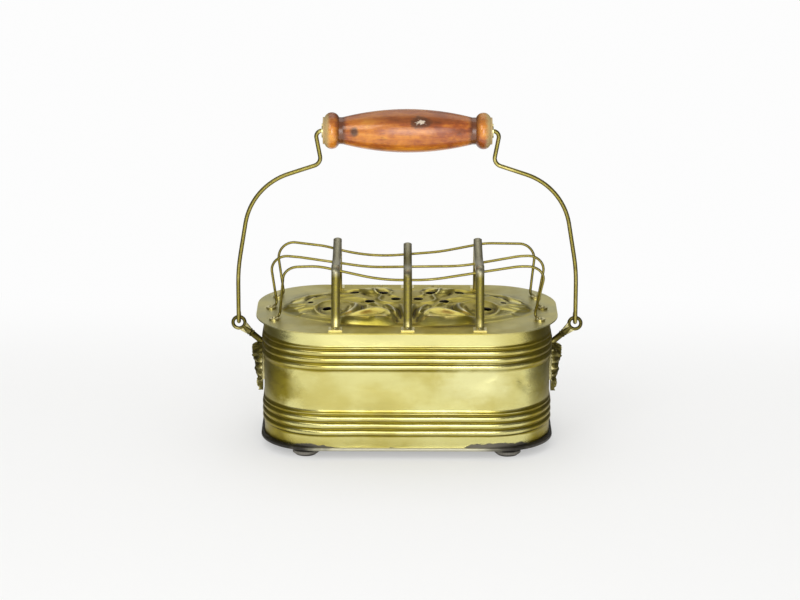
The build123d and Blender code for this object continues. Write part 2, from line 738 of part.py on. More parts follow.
# --- Bail brackets: a cast lion's mask, its arm and the eye the bail hooks into, all one casting -------
with BuildPart() as mask_depth:
    with BuildSketch(Plane.XZ):
        with BuildLine():
            profile = Spline(
                *[
                    (mask_back + x * mask_proud, mask_bottom + z * mask_height)
                    for x, z in mask_profile_shares
                ]
            )
            Polyline(profile @ 1, (mask_back, mask_bottom), (mask_back, mask_top), profile @ 0)
        make_face()
    extrude(amount=mask_width, both=True)

with BuildPart() as bracket_right:
    with BuildSketch(Plane.YZ.offset(mask_back)):
        with BuildLine():
            Spline(*[(y * mask_width, mask_bottom + z * mask_height) for y, z in mask_outline_shares])
            mirror(about=Plane.YZ)
        make_face()
    extrude(amount=mask_proud)
    add(mask_depth.part, mode=Mode.INTERSECT)
    arm_root = Vector(mask_back, 0, eye_height - arm_reach)
    eye_middle = Vector(eye_x, 0, eye_height)
    arm = eye_middle - arm_root
    neck = arm.length - eye_neck
    collars = [(neck - 3 * arm_collar, arm_collar_radius), (neck - 2 * arm_collar, arm_radius)]
    collars += [(neck - arm_collar, arm_collar_radius), (neck, eye_neck_radius)]
    waist = [(0, arm_root_radius), (neck / 4, arm_radius), (neck - 4 * arm_collar, arm_radius)]
    ring = arm.length - eye_ring_radius
    ends = [(ring, eye_tang_radius), (ring, 0)]
    section = [(-arm_root_radius, 0), (-arm_root_radius, arm_root_radius)] + waist + collars + ends
    turned(arm_root, arm, [(radius, along) for along, radius in section])
    split(bisect_by=Plane.YZ.offset(mask_back), keep=Keep.TOP)
    block(
        (wall_x, -pad_width / 2, mask_bottom + pad_margin[0]),
        (mask_back, pad_width / 2, mask_top - pad_margin[1]),
    )
    with BuildSketch(Plane.YZ.offset(wall_x)):
        with Locations(*[(0, z) for z in mask_rivets]):
            Circle(rivet_radius + pin_gap)
    extrude(amount=mask_rivet_depth, mode=Mode.SUBTRACT)
    with Locations(Location(tuple(eye_middle), (90, 0, 0))):
        Torus(eye_ring_radius, eye_wire_radius)
    with BuildSketch(Plane(origin=eye_middle, x_dir=-arm, z_dir=(0, 1, 0))):
        with BuildLine():
            inner = Vector(eye_ring_radius, 0).rotate(Axis.Z, eye_web_spread)
            outer = Vector(eye_ring_radius + eye_web_lap, 0).rotate(Axis.Z, eye_web_spread)
            Polyline(inner, outer, (eye_neck, arm_collar_radius), (eye_neck, 0))
            mirror(about=Plane.XZ)
            ThreePointArc(inner, (eye_ring_radius, 0), (inner.X, -inner.Y))
        make_face()
    extrude(amount=eye_web_sheet / 2, both=True)
save(bracket_right, "bracket_right")

with BuildPart() as bracket_left:
    add(bracket_right.part.mirror(Plane.YZ))
save(bracket_left, "bracket_left")

with BuildPart() as bracket_rivets:
    for side in (-1, 1):
        for z in mask_rivets:
            shank = mask_rivet_depth + casing_wall - pin_gap
            points = [(0, -rivet_head_height), (0.72 * rivet_head, -0.7 * rivet_head_height)]
            points += [(rivet_head, 0), (rivet_radius, 0), (rivet_radius, shank), (0, shank)]
            turned((side * (wall_x - casing_wall), 0, z), (side, 0, 0), points)
save(bracket_rivets, "bracket_rivets")


# --- Bail: one wire, hooked through both eyes and carried through the grip -----------------------------
with BuildPart() as bail_wire:
    bend_x = grip_length / 2 + bail_grip_gap
    side_points = [
        (eye_x, -hook_radius, hook_z),
        (eye_x, -hook_radius, hook_z + bail_rise),
        (eye_x - bail_shoulder[0], -hook_radius, hook_z + bail_shoulder[1]),
        (bend_x - bail_neck[0], -hook_radius, grip_height - bail_neck[1]),
        (bend_x, -hook_radius, grip_height),
    ]
    bends = list(bail_radii) + [bail_grip_radius]
    left = [(-x, y, z) for x, y, z in side_points]
    with BuildLine():
        path = FilletPolyline(*left, *side_points[::-1], radius=bends + bends[::-1])
    with BuildSketch(Plane(origin=path @ 0, z_dir=path % 0)):
        Circle(bail_radius)
    sweep(path=path)
    for x in (-eye_x, eye_x):
        with BuildSketch(Plane(origin=(x, -hook_radius, hook_z), z_dir=(0, 0, 1))):
            Circle(bail_radius)
        revolve(axis=Axis((x, 0, hook_z), (1, 0, 0)), revolution_arc=hook_arc)
save(bail_wire, "bail_wire")

with BuildPart() as grip_washers:
    for side in (-1, 1):
        with BuildSketch(Plane.YZ.offset(side * grip_length / 2)):
            with Locations((-hook_radius, grip_height)):
                Circle(washer_radius)
                Circle(bail_radius + washer_bore_gap, mode=Mode.SUBTRACT)
        extrude(amount=side * washer_sheet)
save(grip_washers, "grip_washers")

with BuildPart() as grip:
    end_x = grip_length / 2
    neck_x = end_x - grip_neck_inset
    bead_x = end_x - grip_bead_inset
    bore = bail_radius + grip_bore_gap
    with BuildSketch(Plane(origin=(0, -hook_radius, grip_height), x_dir=(1, 0, 0), z_dir=(0, -1, 0))):
        with BuildLine():
            ThreePointArc((-neck_x, grip_neck_radius), (0, grip_belly_radius), (neck_x, grip_neck_radius))
            for side in (-1, 1):
                start = (side * (bead_x - grip_bead_width / 2), grip_neck_radius)
                stop = (side * (bead_x + grip_bead_width / 2), grip_neck_radius)
                Line((side * neck_x, grip_neck_radius), start)
                ThreePointArc(start, (side * bead_x, grip_bead_radius), stop)
                Polyline(stop, (side * end_x, grip_neck_radius), (side * end_x, bore), (0, bore))
        make_face()
    revolve(axis=Axis((0, -hook_radius, grip_height), (1, 0, 0)))
save(grip, "grip")
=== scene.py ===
# %% [markdown]
# # A brass foot warmer, dressed over its working frame
#
# The real object is a rolled brass casing on an iron base, under an embossed, pierced lid with a
# footrest of wires. A bail with a turned wooden grip hooks into two cast lion brackets. The frame
# that this scene loads already holds every piece at its real size and in its real place. The scene
# adds what a solid model leaves out: embossing, carving, dents, grain, patina and light.

# %% Load the frame
import json

import bmesh
import bpy
import numpy as np
from mathutils import Matrix, Vector


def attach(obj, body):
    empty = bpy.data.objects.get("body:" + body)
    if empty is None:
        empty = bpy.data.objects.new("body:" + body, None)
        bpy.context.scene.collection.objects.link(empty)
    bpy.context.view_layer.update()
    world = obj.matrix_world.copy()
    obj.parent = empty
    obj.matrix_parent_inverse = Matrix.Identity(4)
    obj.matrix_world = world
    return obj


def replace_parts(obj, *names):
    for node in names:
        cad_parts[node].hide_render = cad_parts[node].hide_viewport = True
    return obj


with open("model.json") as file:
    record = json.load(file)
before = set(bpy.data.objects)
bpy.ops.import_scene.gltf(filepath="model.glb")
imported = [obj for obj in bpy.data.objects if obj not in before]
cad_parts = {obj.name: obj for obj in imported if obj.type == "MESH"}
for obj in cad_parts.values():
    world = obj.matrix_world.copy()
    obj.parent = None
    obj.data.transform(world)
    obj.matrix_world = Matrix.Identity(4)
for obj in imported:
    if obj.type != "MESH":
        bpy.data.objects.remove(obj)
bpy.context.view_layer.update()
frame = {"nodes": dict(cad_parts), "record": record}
MM = 0.001

# %% [markdown]
# ## The camera
#
# A small object looks calm through a long lens from far away, because near and far edges then keep
# the same size. This camera stands 2.7 m off, 16 degrees above level, and is turned by a seventh of
# a degree about its own axis, as a hand-held one is.

# %% Camera
CAMERA_TARGET = Vector((-5.9, 0.0, 117.4)) * MM
CAMERA_DISTANCE = 2700 * MM
CAMERA_RISE = np.radians(16.0)
CAMERA_ROLL = np.radians(0.15)
CAMERA_LENS = 144.6


def put(name, data):
    """A new object in the scene, made of this data."""
    item = bpy.data.objects.new(name, data)
    bpy.context.scene.collection.objects.link(item)
    return item


lens = bpy.data.cameras.new("camera")
lens.lens = CAMERA_LENS
lens.sensor_width = 36.0
lens.clip_end = 50.0
camera = put("camera", lens)
camera_back = Vector((0.0, -np.cos(CAMERA_RISE), np.sin(CAMERA_RISE)))
camera.matrix_world = (
    Matrix.Translation(CAMERA_TARGET + CAMERA_DISTANCE * camera_back)
    @ camera_back.to_track_quat("Z", "Y").to_matrix().to_4x4()
    @ Matrix.Rotation(CAMERA_ROLL, 4, "Z")
)
bpy.context.scene.camera = camera
bpy.context.scene.view_settings.view_transform = "Standard"
print("camera at", tuple(round(v, 3) for v in camera.location))

# %% [markdown]
# ## Shader maths as Python sums
#
# A finish is a small program: noise times strength plus colour. Wiring it node by node hides the
# sum. So a socket is wrapped in a class whose operators add the Math nodes, and every other node
# comes from one method. The finishes below then read like formulas.


# %% Node sums
class Term:
    """A node's output that can stand in a sum; +, -, *, abs and least add their Math nodes."""

    def __init__(self, finish, socket):
        self.finish = finish
        self.socket = socket

    def math(self, operation, *terms):
        inputs = dict(enumerate((self, *terms)))
        return self.finish.node("Math", {"operation": operation}, inputs)

    def __add__(self, other):
        return self.math("ADD", other)

    def __mul__(self, other):
        return self.math("MULTIPLY", other)

    def __sub__(self, other):
        return self.math("SUBTRACT", other)

    def __rsub__(self, other):
        return self.finish.node("Math", {"operation": "SUBTRACT"}, {0: other, 1: self})

    def __abs__(self):
        return self.math("ABSOLUTE")

    def least(self, other):
        return self.math("MINIMUM", other)

    __radd__ = __add__
    __rmul__ = __mul__


class Finish:
    """A material, or the world's light, while it is being mixed."""

    def __init__(self, name, world=False):
        self.material = (bpy.data.worlds if world else bpy.data.materials).new(name)
        self.material.use_nodes = True
        self.tree = self.material.node_tree
        self.tree.nodes.clear()

    def node(self, kind, settings=None, inputs=None, out=0):
        """Add a node of a kind, with its settings, then its sockets' values or links."""
        node = self.tree.nodes.new("ShaderNode" + kind)
        for key, value in (settings or {}).items():
            if key == "stops":
                while len(node.color_ramp.elements) < len(value):
                    node.color_ramp.elements.new(0.5)
                for element, (place, colour) in zip(node.color_ramp.elements, value):
                    element.position = place
                    element.color = (*colour, 1.0)
            else:
                setattr(node, key, value)
        for key, value in (inputs or {}).items():
            if isinstance(value, Term):
                self.tree.links.new(value.socket, node.inputs[key])
            elif node.inputs[key].type == "RGBA":
                node.inputs[key].default_value = (*value, 1.0)
            else:
                node.inputs[key].default_value = value
        return Term(self, node.outputs[out]) if node.outputs else None

    def place(self, scale=(1.0, 1.0, 1.0)):
        """Object coordinates, in metres, stretched by a scale."""
        coordinates = self.node("TexCoord", out=3)
        return self.node("Mapping", {}, {"Vector": coordinates, "Scale": scale})

    def axis(self, number):
        """One object coordinate, in metres: 0 for x, 1 for y and 2 for z."""
        return self.node("SeparateXYZ", {}, {0: self.place()}, out=number)

    def noise(self, scale, detail=4.0, roughness=0.55, stretch=(1.0, 1.0, 1.0)):
        """Cloudy noise from 0 to 1 whose blobs are about 1 / scale metres across."""
        inputs = {"Vector": self.place(stretch), "Scale": scale, "Detail": detail}
        return self.node("TexNoise", {}, {**inputs, "Roughness": roughness})

    def edge(self):
        """Pointiness: about 0.5 on a flat, more on an outside edge, less in a groove."""
        return self.node("NewGeometry", out=7)

    def band(self, term, low, high):
        """0 below low, 1 above high and a smooth step between."""
        settings = {"interpolation_type": "SMOOTHSTEP", "clamp": True}
        return self.node("MapRange", settings, {"Value": term, "From Min": low, "From Max": high})

    def rise(self, term, low, high):
        """A band between two lengths in mm."""
        return self.band(term, low * MM, high * MM)

    def strip(self, term, low, full, fading, gone):
        """1 between full and fading, 0 below low and above gone, all in mm."""
        return self.rise(term, low, full) * (1.0 - self.rise(term, fading, gone))

    def near(self, centre, sizes):
        """1 at a centre, 0 on an ellipsoid of half sizes round it, in mm, and less than 0 beyond."""
        inputs = {0: self.place(), 1: np.multiply(centre, MM)}
        offset = self.node("VectorMath", {"operation": "SUBTRACT"}, inputs)
        inputs = {0: offset, 1: np.multiply(sizes, MM)}
        scaled = self.node("VectorMath", {"operation": "DIVIDE"}, inputs)
        return 1.0 - self.node("VectorMath", {"operation": "LENGTH"}, {0: scaled}, out=1)

    def mix(self, share, first, second):
        """The first colour where share is 0 and the second where it is 1."""
        settings = {"data_type": "RGBA", "clamp_factor": True}
        return self.node("Mix", settings, {0: share, 6: first, 7: second}, out=2)

    def attribute(self, name):
        """A number stored on the piece's own points."""
        return self.node("Attribute", {"attribute_name": name}, out=2)

    def metal(self, colour, roughness, *bumps, metallic=1.0, **more):
        """Finish with the standard shader, and hand the material over.

        Each bump is a height field, its full height in mm and its strength, the first one deepest
        """
        inputs = {"Base Color": colour, "Roughness": roughness, "Metallic": metallic, **more}
        for height, rise, strength in bumps:
            layer = {"Height": height, "Distance": rise * MM, "Strength": strength}
            if "Normal" in inputs:
                layer["Normal"] = inputs["Normal"]
            inputs["Normal"] = self.node("Bump", {}, layer)
        shader = self.node("BsdfPrincipled", {}, inputs)
        self.node("OutputMaterial", {}, {"Surface": shader})
        return self.material


print("node sums ready")

# %% [markdown]
# ## The room
#
# Polished metal has hardly any colour of its own: it shows the room. The real one stood on a white
# sweep under soft lamps, so its flat front mirrors the pale floor before it and its rounded ends
# mirror the dimmer sides of the room. So the floor rises behind in one curve, the world is white to
# the camera and dimmer to everything else, and four soft lamps give the bright streaks. The paper's
# far sides are dim, but only in what the metal mirrors.

# %% Sweep, world and lamps
SWEEP_FRONT = -9000.0
SWEEP_BEND, SWEEP_BEND_RADIUS = 3200.0, 900.0
SWEEP_HALF_WIDTH = 9000.0
SWEEP_TOP = 3000.0
SWEEP_COLOUR = (0.90, 0.90, 0.89)
SWEEP_WHITE = (0.98, 0.98, 0.98)
SWEEP_NEAR = (0.87, 0.87, 0.86)
SWEEP_GLOW = 0.45  # share of the paper's brightness that no shadow takes away
SWEEP_FADE = (60.0, 420.0)  # from lit paper to plain white, behind the object
ROOM_DARK = (0.10, 0.10, 0.095)
ROOM_FADE = (130.0, 400.0)  # where the paper that the metal mirrors grows dim, |x| + behind
ROOM_BEHIND = (0.9, 90.0)  # share of the depth that counts as aside, and its limit
ROOM_FAR = (600.0, 2500.0)  # from here to there |x| counts for less
ROOM_FAR_SHARE = 0.7
WORLD_LIGHT = 0.74
WORLD_MIRRORED = 0.16
LAMPS = (  # name, place, aim, width, watts
    ("key", (-900.0, -1500.0, 1400.0), (0.0, -150.0, 60.0), 900.0, 6.5),
    ("front", (300.0, -2500.0, 900.0), (0.0, -250.0, 0.0), 1400.0, 12.0),
    ("low", (0.0, -1700.0, 420.0), (0.0, -100.0, 0.0), 800.0, 4.0),
    ("rear", (0.0, 900.0, 1900.0), (0.0, 300.0, 60.0), 1500.0, 8.0),
)
MERGE = 0.02


def quads(rows, columns):
    """Corner numbers of the faces between neighbouring points of a rows x columns grid."""
    number = np.arange(rows * columns).reshape(rows, columns)
    corners = (number[:-1, :-1], number[:-1, 1:], number[1:, 1:], number[1:, :-1])
    return np.stack(corners, axis=-1).reshape(-1, 4)


def shaded(mesh, work, smooth):
    """Put a bmesh in the scene as this mesh; edges sharper than smooth degrees stay crisp."""
    work.to_mesh(mesh)
    work.free()
    mesh.shade_smooth()
    mesh.set_sharp_from_angle(angle=np.radians(smooth))
    return put(mesh.name, mesh)


def skin(name, points, smooth=40.0, **numbers):
    """Cover a grid of points, (rows, columns, 3) in mm, with a smooth-shaded skin.

    Points closer than MERGE mm, as at a seam or a pole, become one, and faces turn outwards. Each
    named grid of numbers is stored on the points.
    """
    rows, columns = points.shape[:2]
    mesh = bpy.data.meshes.new(name)
    mesh.from_pydata(points.reshape(-1, 3) * MM, [], quads(rows, columns))
    for key, values in numbers.items():
        stored = mesh.attributes.new(key, "FLOAT", "POINT")
        stored.data.foreach_set("value", values.ravel().astype(np.float32))
    work = bmesh.new()
    work.from_mesh(mesh)
    bmesh.ops.remove_doubles(work, verts=work.verts, dist=MERGE * MM)
    bmesh.ops.dissolve_degenerate(work, edges=work.edges, dist=MERGE * MM / 10)
    bmesh.ops.recalc_face_normals(work, faces=work.faces)
    return shaded(mesh, work, smooth)


turn = np.linspace(0.0, np.pi / 2, 33)
sweep_y = np.concatenate([[SWEEP_FRONT], SWEEP_BEND + SWEEP_BEND_RADIUS * np.sin(turn)])
sweep_z = np.concatenate([[0.0], SWEEP_BEND_RADIUS * (1 - np.cos(turn))])
sweep_y = np.append(sweep_y, SWEEP_BEND + SWEEP_BEND_RADIUS)
sweep_z = np.append(sweep_z, SWEEP_TOP)
sweep_x = np.array([[-SWEEP_HALF_WIDTH, SWEEP_HALF_WIDTH]])
sweep_points = np.broadcast_arrays(sweep_x, sweep_y[:, None], sweep_z[:, None])
sweep = skin("sweep", np.stack(sweep_points, axis=-1))


def sweep_paper():
    """White paper: lit near the object, plain white far behind it, dim where metal mirrors its sides.

    aside = band(|x| * (1 - far) + least(depth * share, limit)), for mirrored rays alone
    """
    mix = Finish("white_sweep")
    depth = mix.axis(1)
    sight = mix.node("LightPath")
    mirrored = mix.node("LightPath", out=3)
    lit = mix.node("BsdfDiffuse", {}, {"Color": SWEEP_COLOUR})
    dark = mix.node("Emission", {}, {"Color": ROOM_DARK})
    white = (SWEEP_GLOW + mix.rise(depth, *SWEEP_FADE) * (1.0 - SWEEP_GLOW)) * sight
    glow = mix.node("Emission", {}, {"Color": mix.mix(white, SWEEP_NEAR, SWEEP_WHITE)})
    narrow = 1.0 - mix.rise(depth, *ROOM_FAR) * ROOM_FAR_SHARE
    behind = (depth * ROOM_BEHIND[0]).least(ROOM_BEHIND[1] * MM)
    aside = mix.rise(abs(mix.axis(0)) * narrow + behind, *ROOM_FADE) * mirrored
    paper = mix.node("MixShader", {}, {0: white, 1: lit, 2: glow})
    paper = mix.node("MixShader", {}, {0: aside, 1: paper, 2: dark})
    mix.node("OutputMaterial", {}, {"Surface": paper})
    return mix.material


sweep.data.materials.append(sweep_paper())


def even_light():
    """Light from all round: white to the camera, dim in what metal mirrors, and fair elsewhere."""
    mix = Finish("room", world=True)
    sight = mix.node("LightPath")
    mirrored = mix.node("LightPath", out=3)
    strengths = (WORLD_LIGHT, WORLD_MIRRORED, 1.0)
    even = [mix.node("Background", {}, {"Color": (1.0,) * 3, "Strength": s}) for s in strengths]
    light = mix.node("MixShader", {}, {0: mirrored, 1: even[0], 2: even[1]})
    light = mix.node("MixShader", {}, {0: sight, 1: light, 2: even[2]})
    mix.node("OutputWorld", {}, {"Surface": light})
    return mix.material


def soft_lamp(name, place, aim, size, power):
    """A square lamp, size mm wide, standing at place and facing aim, both in mm."""
    light = bpy.data.lights.new(name, "AREA")
    light.shape = "SQUARE"
    light.size = size * MM
    light.energy = power
    lamp = put(name, light)
    lamp.location = Vector(place) * MM
    lamp.rotation_euler = (Vector(aim) - Vector(place)).to_track_quat("-Z", "Y").to_euler()


bpy.context.scene.world = even_light()
for lamp in LAMPS:
    soft_lamp(*lamp)
print("room ready,", len(LAMPS), "lamps")

# %% [markdown]
# ## Finishes
#
# The brass was never lacquered. It has an olive-brown patina that survives in grooves and on the
# lid, and is rubbed to pale gold on every moulding that a hand or a cloth meets. Each finish mixes
# the two by a share from 0 to 1. On the small pieces the rubbed places are found by pointiness,
# which is high on outside edges. The casing and the lid store their own grooves and crests on their
# points instead, because there the wear follows the pattern.


# %% Brass
GOLD = (0.80, 0.69, 0.25)
OLIVE = (0.27, 0.23, 0.04)
BROWN = (0.19, 0.155, 0.07)
PALE = (0.90, 0.84, 0.50)
DUSTY = (0.58, 0.55, 0.40)
# below a strap's foot height the brass is brightened as a painted highlight
LIT_FOOT_FADE, TOP_FADE = 9.0, 6.0  # mm over which a strap's foot and its top change colour
CASING_GOLDS = (0.66, 0.58, 0.18), (0.80, 0.75, 0.31)
# patina in the grooves; the same colours serve as painted shade round the ends and at the foot
CASING_PATINAS_AND_SHADE = (0.36, 0.29, 0.03), (0.25, 0.195, 0.03)
# the colour of the painted reflection along the top strip
CASING_TOP_SHEEN = (0.93, 0.87, 0.38)
# the colour of the painted highlight on the front's right half
CASING_SHEEN_SPOT = (0.93, 0.90, 0.46)
CASING_TORN = (0.20, 0.185, 0.15)
# places on the casing, in mm: heights, or distances from the middle
# |x| from which the rounded ends are darkened as painted shade, as if they mirrored the dim room
SHADED_ENDS = (90.0, 110.0)
# heights over which the casing's foot is darkened as painted shade, as if it mirrored the shadowed
# floor
SHADED_FOOT = (10.0, 24.0)
DARK_BANDS = (74.5, 77.5, 94.5, 97.5), (17.5, 21.0, 38.0, 40.5)
# heights and |x| of the painted reflection along the top strip, under the lid
TOP_SHEEN, TOP_SHEEN_ENDS = (95.5, 98.5), (60.0, 96.0)
STAIN, STAIN_HALF = (-98.0, -52.0, 59.0), (24.0, 40.0, 19.0)  # old tarnish at the left end
SHEEN_SPOT, SHEEN_SPOT_HALF = (58.0, -68.0, 66.0), (46.0, 40.0, 26.0)  # a painted highlight on the right half of the front
# the torn foot: its height, how ragged it is, and two stretches of x where it is torn higher
TEAR, TEAR_RAGGED, TEAR_EDGE = 8.7, 8.5, 0.4
TEAR_RIGHT, TEAR_RIGHT_RISE = (38.0, 62.0, 94.0, 108.0), 4.0
TEAR_LEFT, TEAR_LEFT_RISE = (-104.0, -90.0, -72.0, -58.0), 3.0
LID_WARM = (0.61, 0.525, 0.12), (0.49, 0.40, 0.078)
LID_GREY = (0.61, 0.59, 0.35)
LID_GREY_ENDS = (45.0, 115.0)
LID_GOLDS = (0.62, 0.52, 0.08), (0.78, 0.68, 0.20)
# the crests' pale colour: rubbed wear, and partly a painted highlight
LID_CREST_WEAR_AND_SHEEN = (0.82, 0.78, 0.54)
LID_GRIME = (0.12, 0.095, 0.04)


def brass(name, worn, tarnish, roughness, scale=1.0, dull=1.0, low=0.0, high=400.0):
    """Brass: gold and patina mixed by a cloudy share, rubbed pale at the edges.

    share = band(cloud + worn * edge), colour = patina * (1 - share) + gold * share; dull multiplies
    the patina's colour; below the height low, in mm, a painted highlight makes the brass brighter,
    above high it is greyer
    """
    mix = Finish(name)
    cloud = mix.noise(26.0 * scale, detail=6.0)
    fine = mix.noise(420.0 * scale, detail=3.0)
    edge = mix.band(mix.edge(), 0.50, 0.57)
    height = mix.axis(2)
    # painted highlight at the foot
    lit_foot = 1.0 - mix.rise(height, low, low + LIT_FOOT_FADE)
    share = mix.band(cloud + fine * 0.2 + edge * worn + lit_foot * 0.3, tarnish, tarnish + 0.4)
    gold = mix.mix(edge * 0.7, GOLD, PALE)
    patina = np.multiply(OLIVE, dull), np.multiply(BROWN, dull)
    colour = mix.mix(share, mix.mix(mix.band(fine, 0.35, 0.75), *patina), gold)
    grey = mix.rise(height, high - TOP_FADE, high) * (0.25 + fine)
    colour = mix.mix(grey, colour, DUSTY)
    gloss = roughness + 0.10 * fine + 0.10 * (1.0 - share)
    return mix.metal(colour, gloss, (fine, 0.14, 0.4), (cloud, 0.8, 0.3))


def polished_brass():
    """The casing's brass: olive patina in the grooves, painted shade round the ends and at the foot,
    a painted reflection along the top and a painted highlight on the front's right half.
    """
    mix = Finish("casing_brass")
    x, z = mix.axis(0), mix.axis(2)
    cloud = mix.noise(16.0, detail=6.0, stretch=(1.0, 1.0, 1.6))
    blotch = mix.noise(60.0, detail=6.0, roughness=0.7, stretch=(1.0, 1.0, 1.5))
    fine = mix.noise(700.0, detail=3.0)
    uneven = blotch - 0.5
    # painted shade round the rounded ends
    shaded_ends = mix.rise(abs(x) + uneven * (14.0 * MM), *SHADED_ENDS)
    # painted shade at the casing's foot
    shaded_foot = 1.0 - mix.rise(z, *SHADED_FOOT)
    upper, lower = (mix.strip(z, *heights) for heights in DARK_BANDS)
    stain = mix.band(mix.near(STAIN, STAIN_HALF) + uneven * 1.2, 0.0, 0.6)
    dark = mix.attribute("hollow") * 0.82 + (upper + lower) * 0.24 + shaded_ends * 0.68 + shaded_foot * 0.25
    dark = dark + mix.attribute("inside") * 0.6 + stain * 0.42
    share = mix.band(1.0 - dark + (cloud - 0.5) * 0.8 + uneven * 0.5, 0.15, 0.85)
    gold = mix.mix(mix.band(cloud, 0.38, 0.62), *CASING_GOLDS)
    patina = mix.mix(mix.band(blotch, 0.4, 0.7), *CASING_PATINAS_AND_SHADE)
    colour = mix.mix(share, patina, gold)
    # painted reflection along the top strip
    wear_and_sheen = mix.rise(z, *TOP_SHEEN) * (1.0 - mix.rise(abs(x), *TOP_SHEEN_ENDS))
    colour = mix.mix(wear_and_sheen * 0.8, colour, CASING_TOP_SHEEN)
    # painted highlight on the front's right half
    sheen_spot = mix.band(mix.near(SHEEN_SPOT, SHEEN_SPOT_HALF) + uneven * 0.9, 0.05, 0.8)
    colour = mix.mix(sheen_spot * 0.8, colour, CASING_SHEEN_SPOT)
    right = mix.strip(x, *TEAR_RIGHT) * TEAR_RIGHT_RISE
    left = mix.strip(x, *TEAR_LEFT) * TEAR_LEFT_RISE
    tear = (TEAR + right + left + uneven * TEAR_RAGGED) * MM
    torn = 1.0 - mix.rise(z - tear, -TEAR_EDGE, TEAR_EDGE)
    colour = mix.mix(torn, colour, CASING_TORN)
    gloss = 0.17 + 0.12 * (1.0 - share) + 0.14 * blotch + 0.3 * torn
    return mix.metal(colour, gloss, (fine, 0.08, 0.25), (blotch, 1.1, 0.28), (torn, 0.6, 0.6))


def embossed_brass():
    """The lid's brass: taupe patina in the hollows, olive gold on the raised leaves, pale crests.

    share = band(0.42 * raised + 0.7 * crest + cloud), and only the sharpest crests are made pale, by
    rubbed wear and partly a painted highlight
    """
    mix = Finish("lid_brass")
    cloud = mix.noise(30.0, detail=6.0)
    blotch = mix.noise(75.0, detail=5.0, roughness=0.65)
    fine = mix.noise(650.0, detail=3.0)
    crest = mix.attribute("crest")
    raised = mix.attribute("raised")
    share = mix.band(raised * 0.42 + crest * 0.7 + (cloud - 0.5) * 2.2 + (blotch - 0.5), -0.7, 1.1)
    grey = mix.rise(abs(mix.axis(0)) + (cloud - 0.5) * (120.0 * MM), *LID_GREY_ENDS)
    patina = mix.mix(grey, mix.mix(mix.band(blotch, 0.35, 0.7), *LID_WARM), LID_GREY)
    gold = mix.mix(mix.band(cloud, 0.4, 0.65), *LID_GOLDS)
    colour = mix.mix(share, patina, gold)
    # the sharpest crests: rubbed wear and partly a painted highlight
    wear_and_sheen = mix.band(crest + (blotch - 0.5) * 1.1, 0.45, 1.25)
    colour = mix.mix(wear_and_sheen * 0.75, colour, LID_CREST_WEAR_AND_SHEEN)
    grime = mix.band((blotch - 0.5) * 0.6 - crest, 0.35, 0.95)
    colour = mix.mix(grime * 0.8, colour, LID_GRIME)
    gloss = 0.27 + 0.12 * (1.0 - share) + 0.12 * blotch
    return mix.metal(colour, gloss, (fine, 0.1, 0.3), (blotch, 1.0, 0.25))


brass_sheet = polished_brass()
brass_lid = embossed_brass()
# the straps' feet, below 114 mm, get a painted highlight
brass_strip = brass(
    "strap_brass", worn=0.25, tarnish=0.68, roughness=0.27, scale=1.7, low=114.0, high=156.0
)
brass_wire = brass("wire_brass", worn=0.25, tarnish=0.58, roughness=0.24, scale=2.2, dull=1.5)
brass_cast = brass("lion_brass", worn=0.25, tarnish=0.66, roughness=0.32, scale=2.6, dull=0.62)
brass_small = brass("rivet_brass", worn=0.5, tarnish=0.35, roughness=0.24, scale=3.0)


# %% [markdown]
# ## Iron and wood
#
# The tray, the pan and the feet are iron sheet and castings, blackened against rust; the blacking
# goes first along edges, so it is mixed with bare metal by pointiness. The middle of the tray's
# front edge is painted pale, a painted reflection of the floor. The grip is turned beech under a
# shellac coat. Its grain runs along the lathe's axis, so the noise is drawn out along X, and a knot
# and a chip are placed where they lie on the real one. The grip's top is darkened as painted shade.

# %% Iron and wood
WORN_IRON = (0.30, 0.28, 0.24)
WORN_FEET = (0.34, 0.32, 0.28)
# painted reflection: the pale floor mirrored in the middle of the tray's front edge
TRAY_SHEEN = (0.62, 0.60, 0.46)
TRAY_SHEEN_ENDS, TRAY_SHEEN_FRONT = (55.0, 85.0), (-68.5, -66.5)  # |x| and y where the painted reflection on the tray's front fades out
# the grip, in mm: a knot, a chip with its worn surround, and distances along and up
KNOT, KNOT_HALF = (-43.5, -14.5, 265.5), (5.5, 6.0, 5.5)
CHIP, CHIP_HALF, CHIP_ROUND = (10.5, -17.0, 274.5), (8.0, 9.0, 4.4), (11.0, 11.0, 6.5)
# heights over which the grip's top is darkened as painted shade
DIM_TOP = (270.0, 277.0)
GRIP_NECK = (49.0, 53.5, 56.0, 61.0)
GRIP_RIM = (63.0, 67.5)
WOOD_TONES = (  # share, colour
    (0.34, (0.12, 0.024, 0.004)),
    (0.44, (0.38, 0.080, 0.006)),
    (0.53, (0.68, 0.22, 0.012)),
    (0.66, (0.94, 0.46, 0.035)),
)
WOOD_PORES = (0.10, 0.022, 0.006)
# the colour of the painted shade along the grip's top
WOOD_TOP_SHADE = (0.20, 0.06, 0.008)
WOOD_NECK = (0.07, 0.018, 0.006)
WOOD_RIM = (0.46, 0.38, 0.17)
WOOD_KNOT = (0.05, 0.022, 0.012)
WOOD_WORN = (0.085, 0.03, 0.010)
WOOD_BARE = (0.70, 0.58, 0.44)


